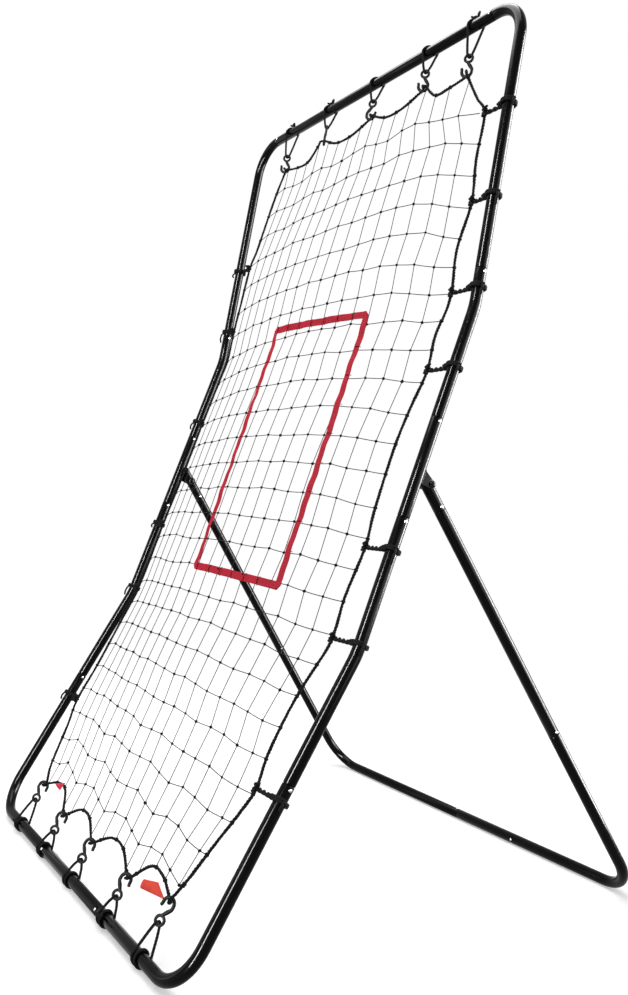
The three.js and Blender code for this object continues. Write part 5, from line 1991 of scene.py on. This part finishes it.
# Name, place, target, width, height, which of the studio's powers, the share of it, and whether
# the lamp lights everything or shows only in gloss.
LAMPS = (
    ("overhead_softbox", (-0.4, -0.4, 3.4), (0, 0, 0.6), 2.6, 2.6, "overhead", 1, True),
    ("left_fill", (-1.9, -2.3, 1.3), (0, 0, 0.8), 0.35, 2.4, "fill", 1, True),
    ("front_strip", (0.95, -2.65, 1.1), (0.2, 0, 0.9), 0.25, 3.2, "strip", 1, False),
    ("rear_panel", (1.45, 2.4, 1.2), (0.2, 0, 0.8), 1.8, 2.6, "rim", 1, False),
    ("side_panel", (3.0, 1.5, 1.2), (0.3, 0, 0.8), 2.6, 2.6, "rim", 0.25, False),
    ("rear_strip", (1.25, 2.3, 1.25), (0.2, 0, 0.8), 0.12, 2.6, "rim", 0.4, False),
    ("overhead_panel", (-0.4, -0.4, 3.39), (0, 0, 0.6), 2.6, 2.6, "rim", 1 / 3, False),
)


def build_stage():
    """Floor, surround, camera and lamps."""
    studio = settings()[3]
    deselect()
    bpy.ops.mesh.primitive_circle_add(
        vertices=96, radius=studio.floor_radius, fill_type="NGON", location=(0, 0, -0.0005)
    )
    floor = settle(bpy.context.object, "studio_floor")
    floor.data.materials.append(floor_finish())
    add_world()
    add_camera()
    for name, place, target, width, height, power, share, lights_all in LAMPS:
        watts = getattr(studio, power) * share
        add_lamp(name, place, target, width, height, watts, lights_all)
    bpy.context.scene.view_settings.view_transform = "Standard"


# ---- the add-on ----
class TubesOperator(bpy.types.Operator):
    """Draws the steel tubes of the frame and the rear leg"""

    bl_idname = "target_net.tubes"
    bl_label = "Tubes"

    def execute(self, context):
        maker = TubeMaker()
        maker.note_all_buttons()
        build_frame_tubes(maker)
        build_leg_tubes(maker)
        return {"FINISHED"}


class FittingsOperator(bpy.types.Operator):
    """Makes the spring buttons, the hinge bolts and tabs, and the rivet"""

    bl_idname = "target_net.fittings"
    bl_label = "Buttons, bolts and tabs"

    def execute(self, context):
        maker = TubeMaker()
        maker.note_all_buttons()
        build_buttons(maker)
        build_hinges(maker)
        build_rivet(maker)
        return {"FINISHED"}


class HooksOperator(bpy.types.Operator):
    """Makes the ten moulded hooks"""

    bl_idname = "target_net.hooks"
    bl_label = "Hooks"

    def execute(self, context):
        build_hooks(Rails())
        return {"FINISHED"}


class ElasticOperator(bpy.types.Operator):
    """Makes the elastic loops and the side ties"""

    bl_idname = "target_net.elastic"
    bl_label = "Elastic loops and ties"

    def execute(self, context):
        rails = Rails()
        build_loops(rails)
        build_ties(rails)
        return {"FINISHED"}


class RopeOperator(bpy.types.Operator):
    """Lays the border rope through the hooks and the ties"""

    bl_idname = "target_net.rope"
    bl_label = "Border rope"

    def execute(self, context):
        build_rope(Rails())
        return {"FINISHED"}


class NetOperator(bpy.types.Operator):
    """Knots the net and hangs it in its rope"""

    bl_idname = "target_net.net"
    bl_label = "Net"

    def execute(self, context):
        build_net(Rails())
        return {"FINISHED"}


class ZoneOperator(bpy.types.Operator):
    """Sews on the strike zone and hangs the two tags"""

    bl_idname = "target_net.zone"
    bl_label = "Strike zone and tags"

    def execute(self, context):
        rails = Rails()
        build_strike_zone(rails)
        build_tags(rails)
        return {"FINISHED"}


class StageOperator(bpy.types.Operator):
    """Sets up the floor, the surround, the lamps and the camera"""

    bl_idname = "target_net.stage"
    bl_label = "Studio"

    def execute(self, context):
        build_stage()
        return {"FINISHED"}


OPERATORS = (
    TubesOperator,
    FittingsOperator,
    HooksOperator,
    ElasticOperator,
    RopeOperator,
    NetOperator,
    ZoneOperator,
    StageOperator,
)
GROUPS = {
    "target_frame": FrameSizes,
    "target_net": NetSizes,
    "target_finishes": Finishes,
    "target_studio": Studio,
}


class TargetNetPanel(bpy.types.Panel):
    """Sizes, finishes and the buttons that make each piece"""

    bl_idname = "VIEW3D_PT_target_net"
    bl_label = "Pitching Target Net"
    bl_space_type = "VIEW_3D"
    bl_region_type = "UI"
    bl_category = "Target Net"

    def draw(self, context):
        layout = self.layout
        for operator in OPERATORS:
            layout.operator(operator.bl_idname)
        for pointer, group in GROUPS.items():
            box = layout.box()
            box.label(text=group.__doc__.rstrip("."))
            for name in group.__annotations__:
                box.prop(getattr(context.scene, pointer), name)


CLASSES = (*GROUPS.values(), *OPERATORS, TargetNetPanel)


def register():
    for kind in CLASSES:
        bpy.utils.register_class(kind)
    for pointer, group in GROUPS.items():
        setattr(bpy.types.Scene, pointer, PointerProperty(type=group))


def unregister():
    for pointer in GROUPS:
        delattr(bpy.types.Scene, pointer)
    for kind in reversed(CLASSES):
        bpy.utils.unregister_class(kind)


def main():
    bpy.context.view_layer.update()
    register()
    for operator in OPERATORS:
        category, name = operator.bl_idname.split(".")
        getattr(getattr(bpy.ops, category), name)()


if __name__ == "__main__":
    main()
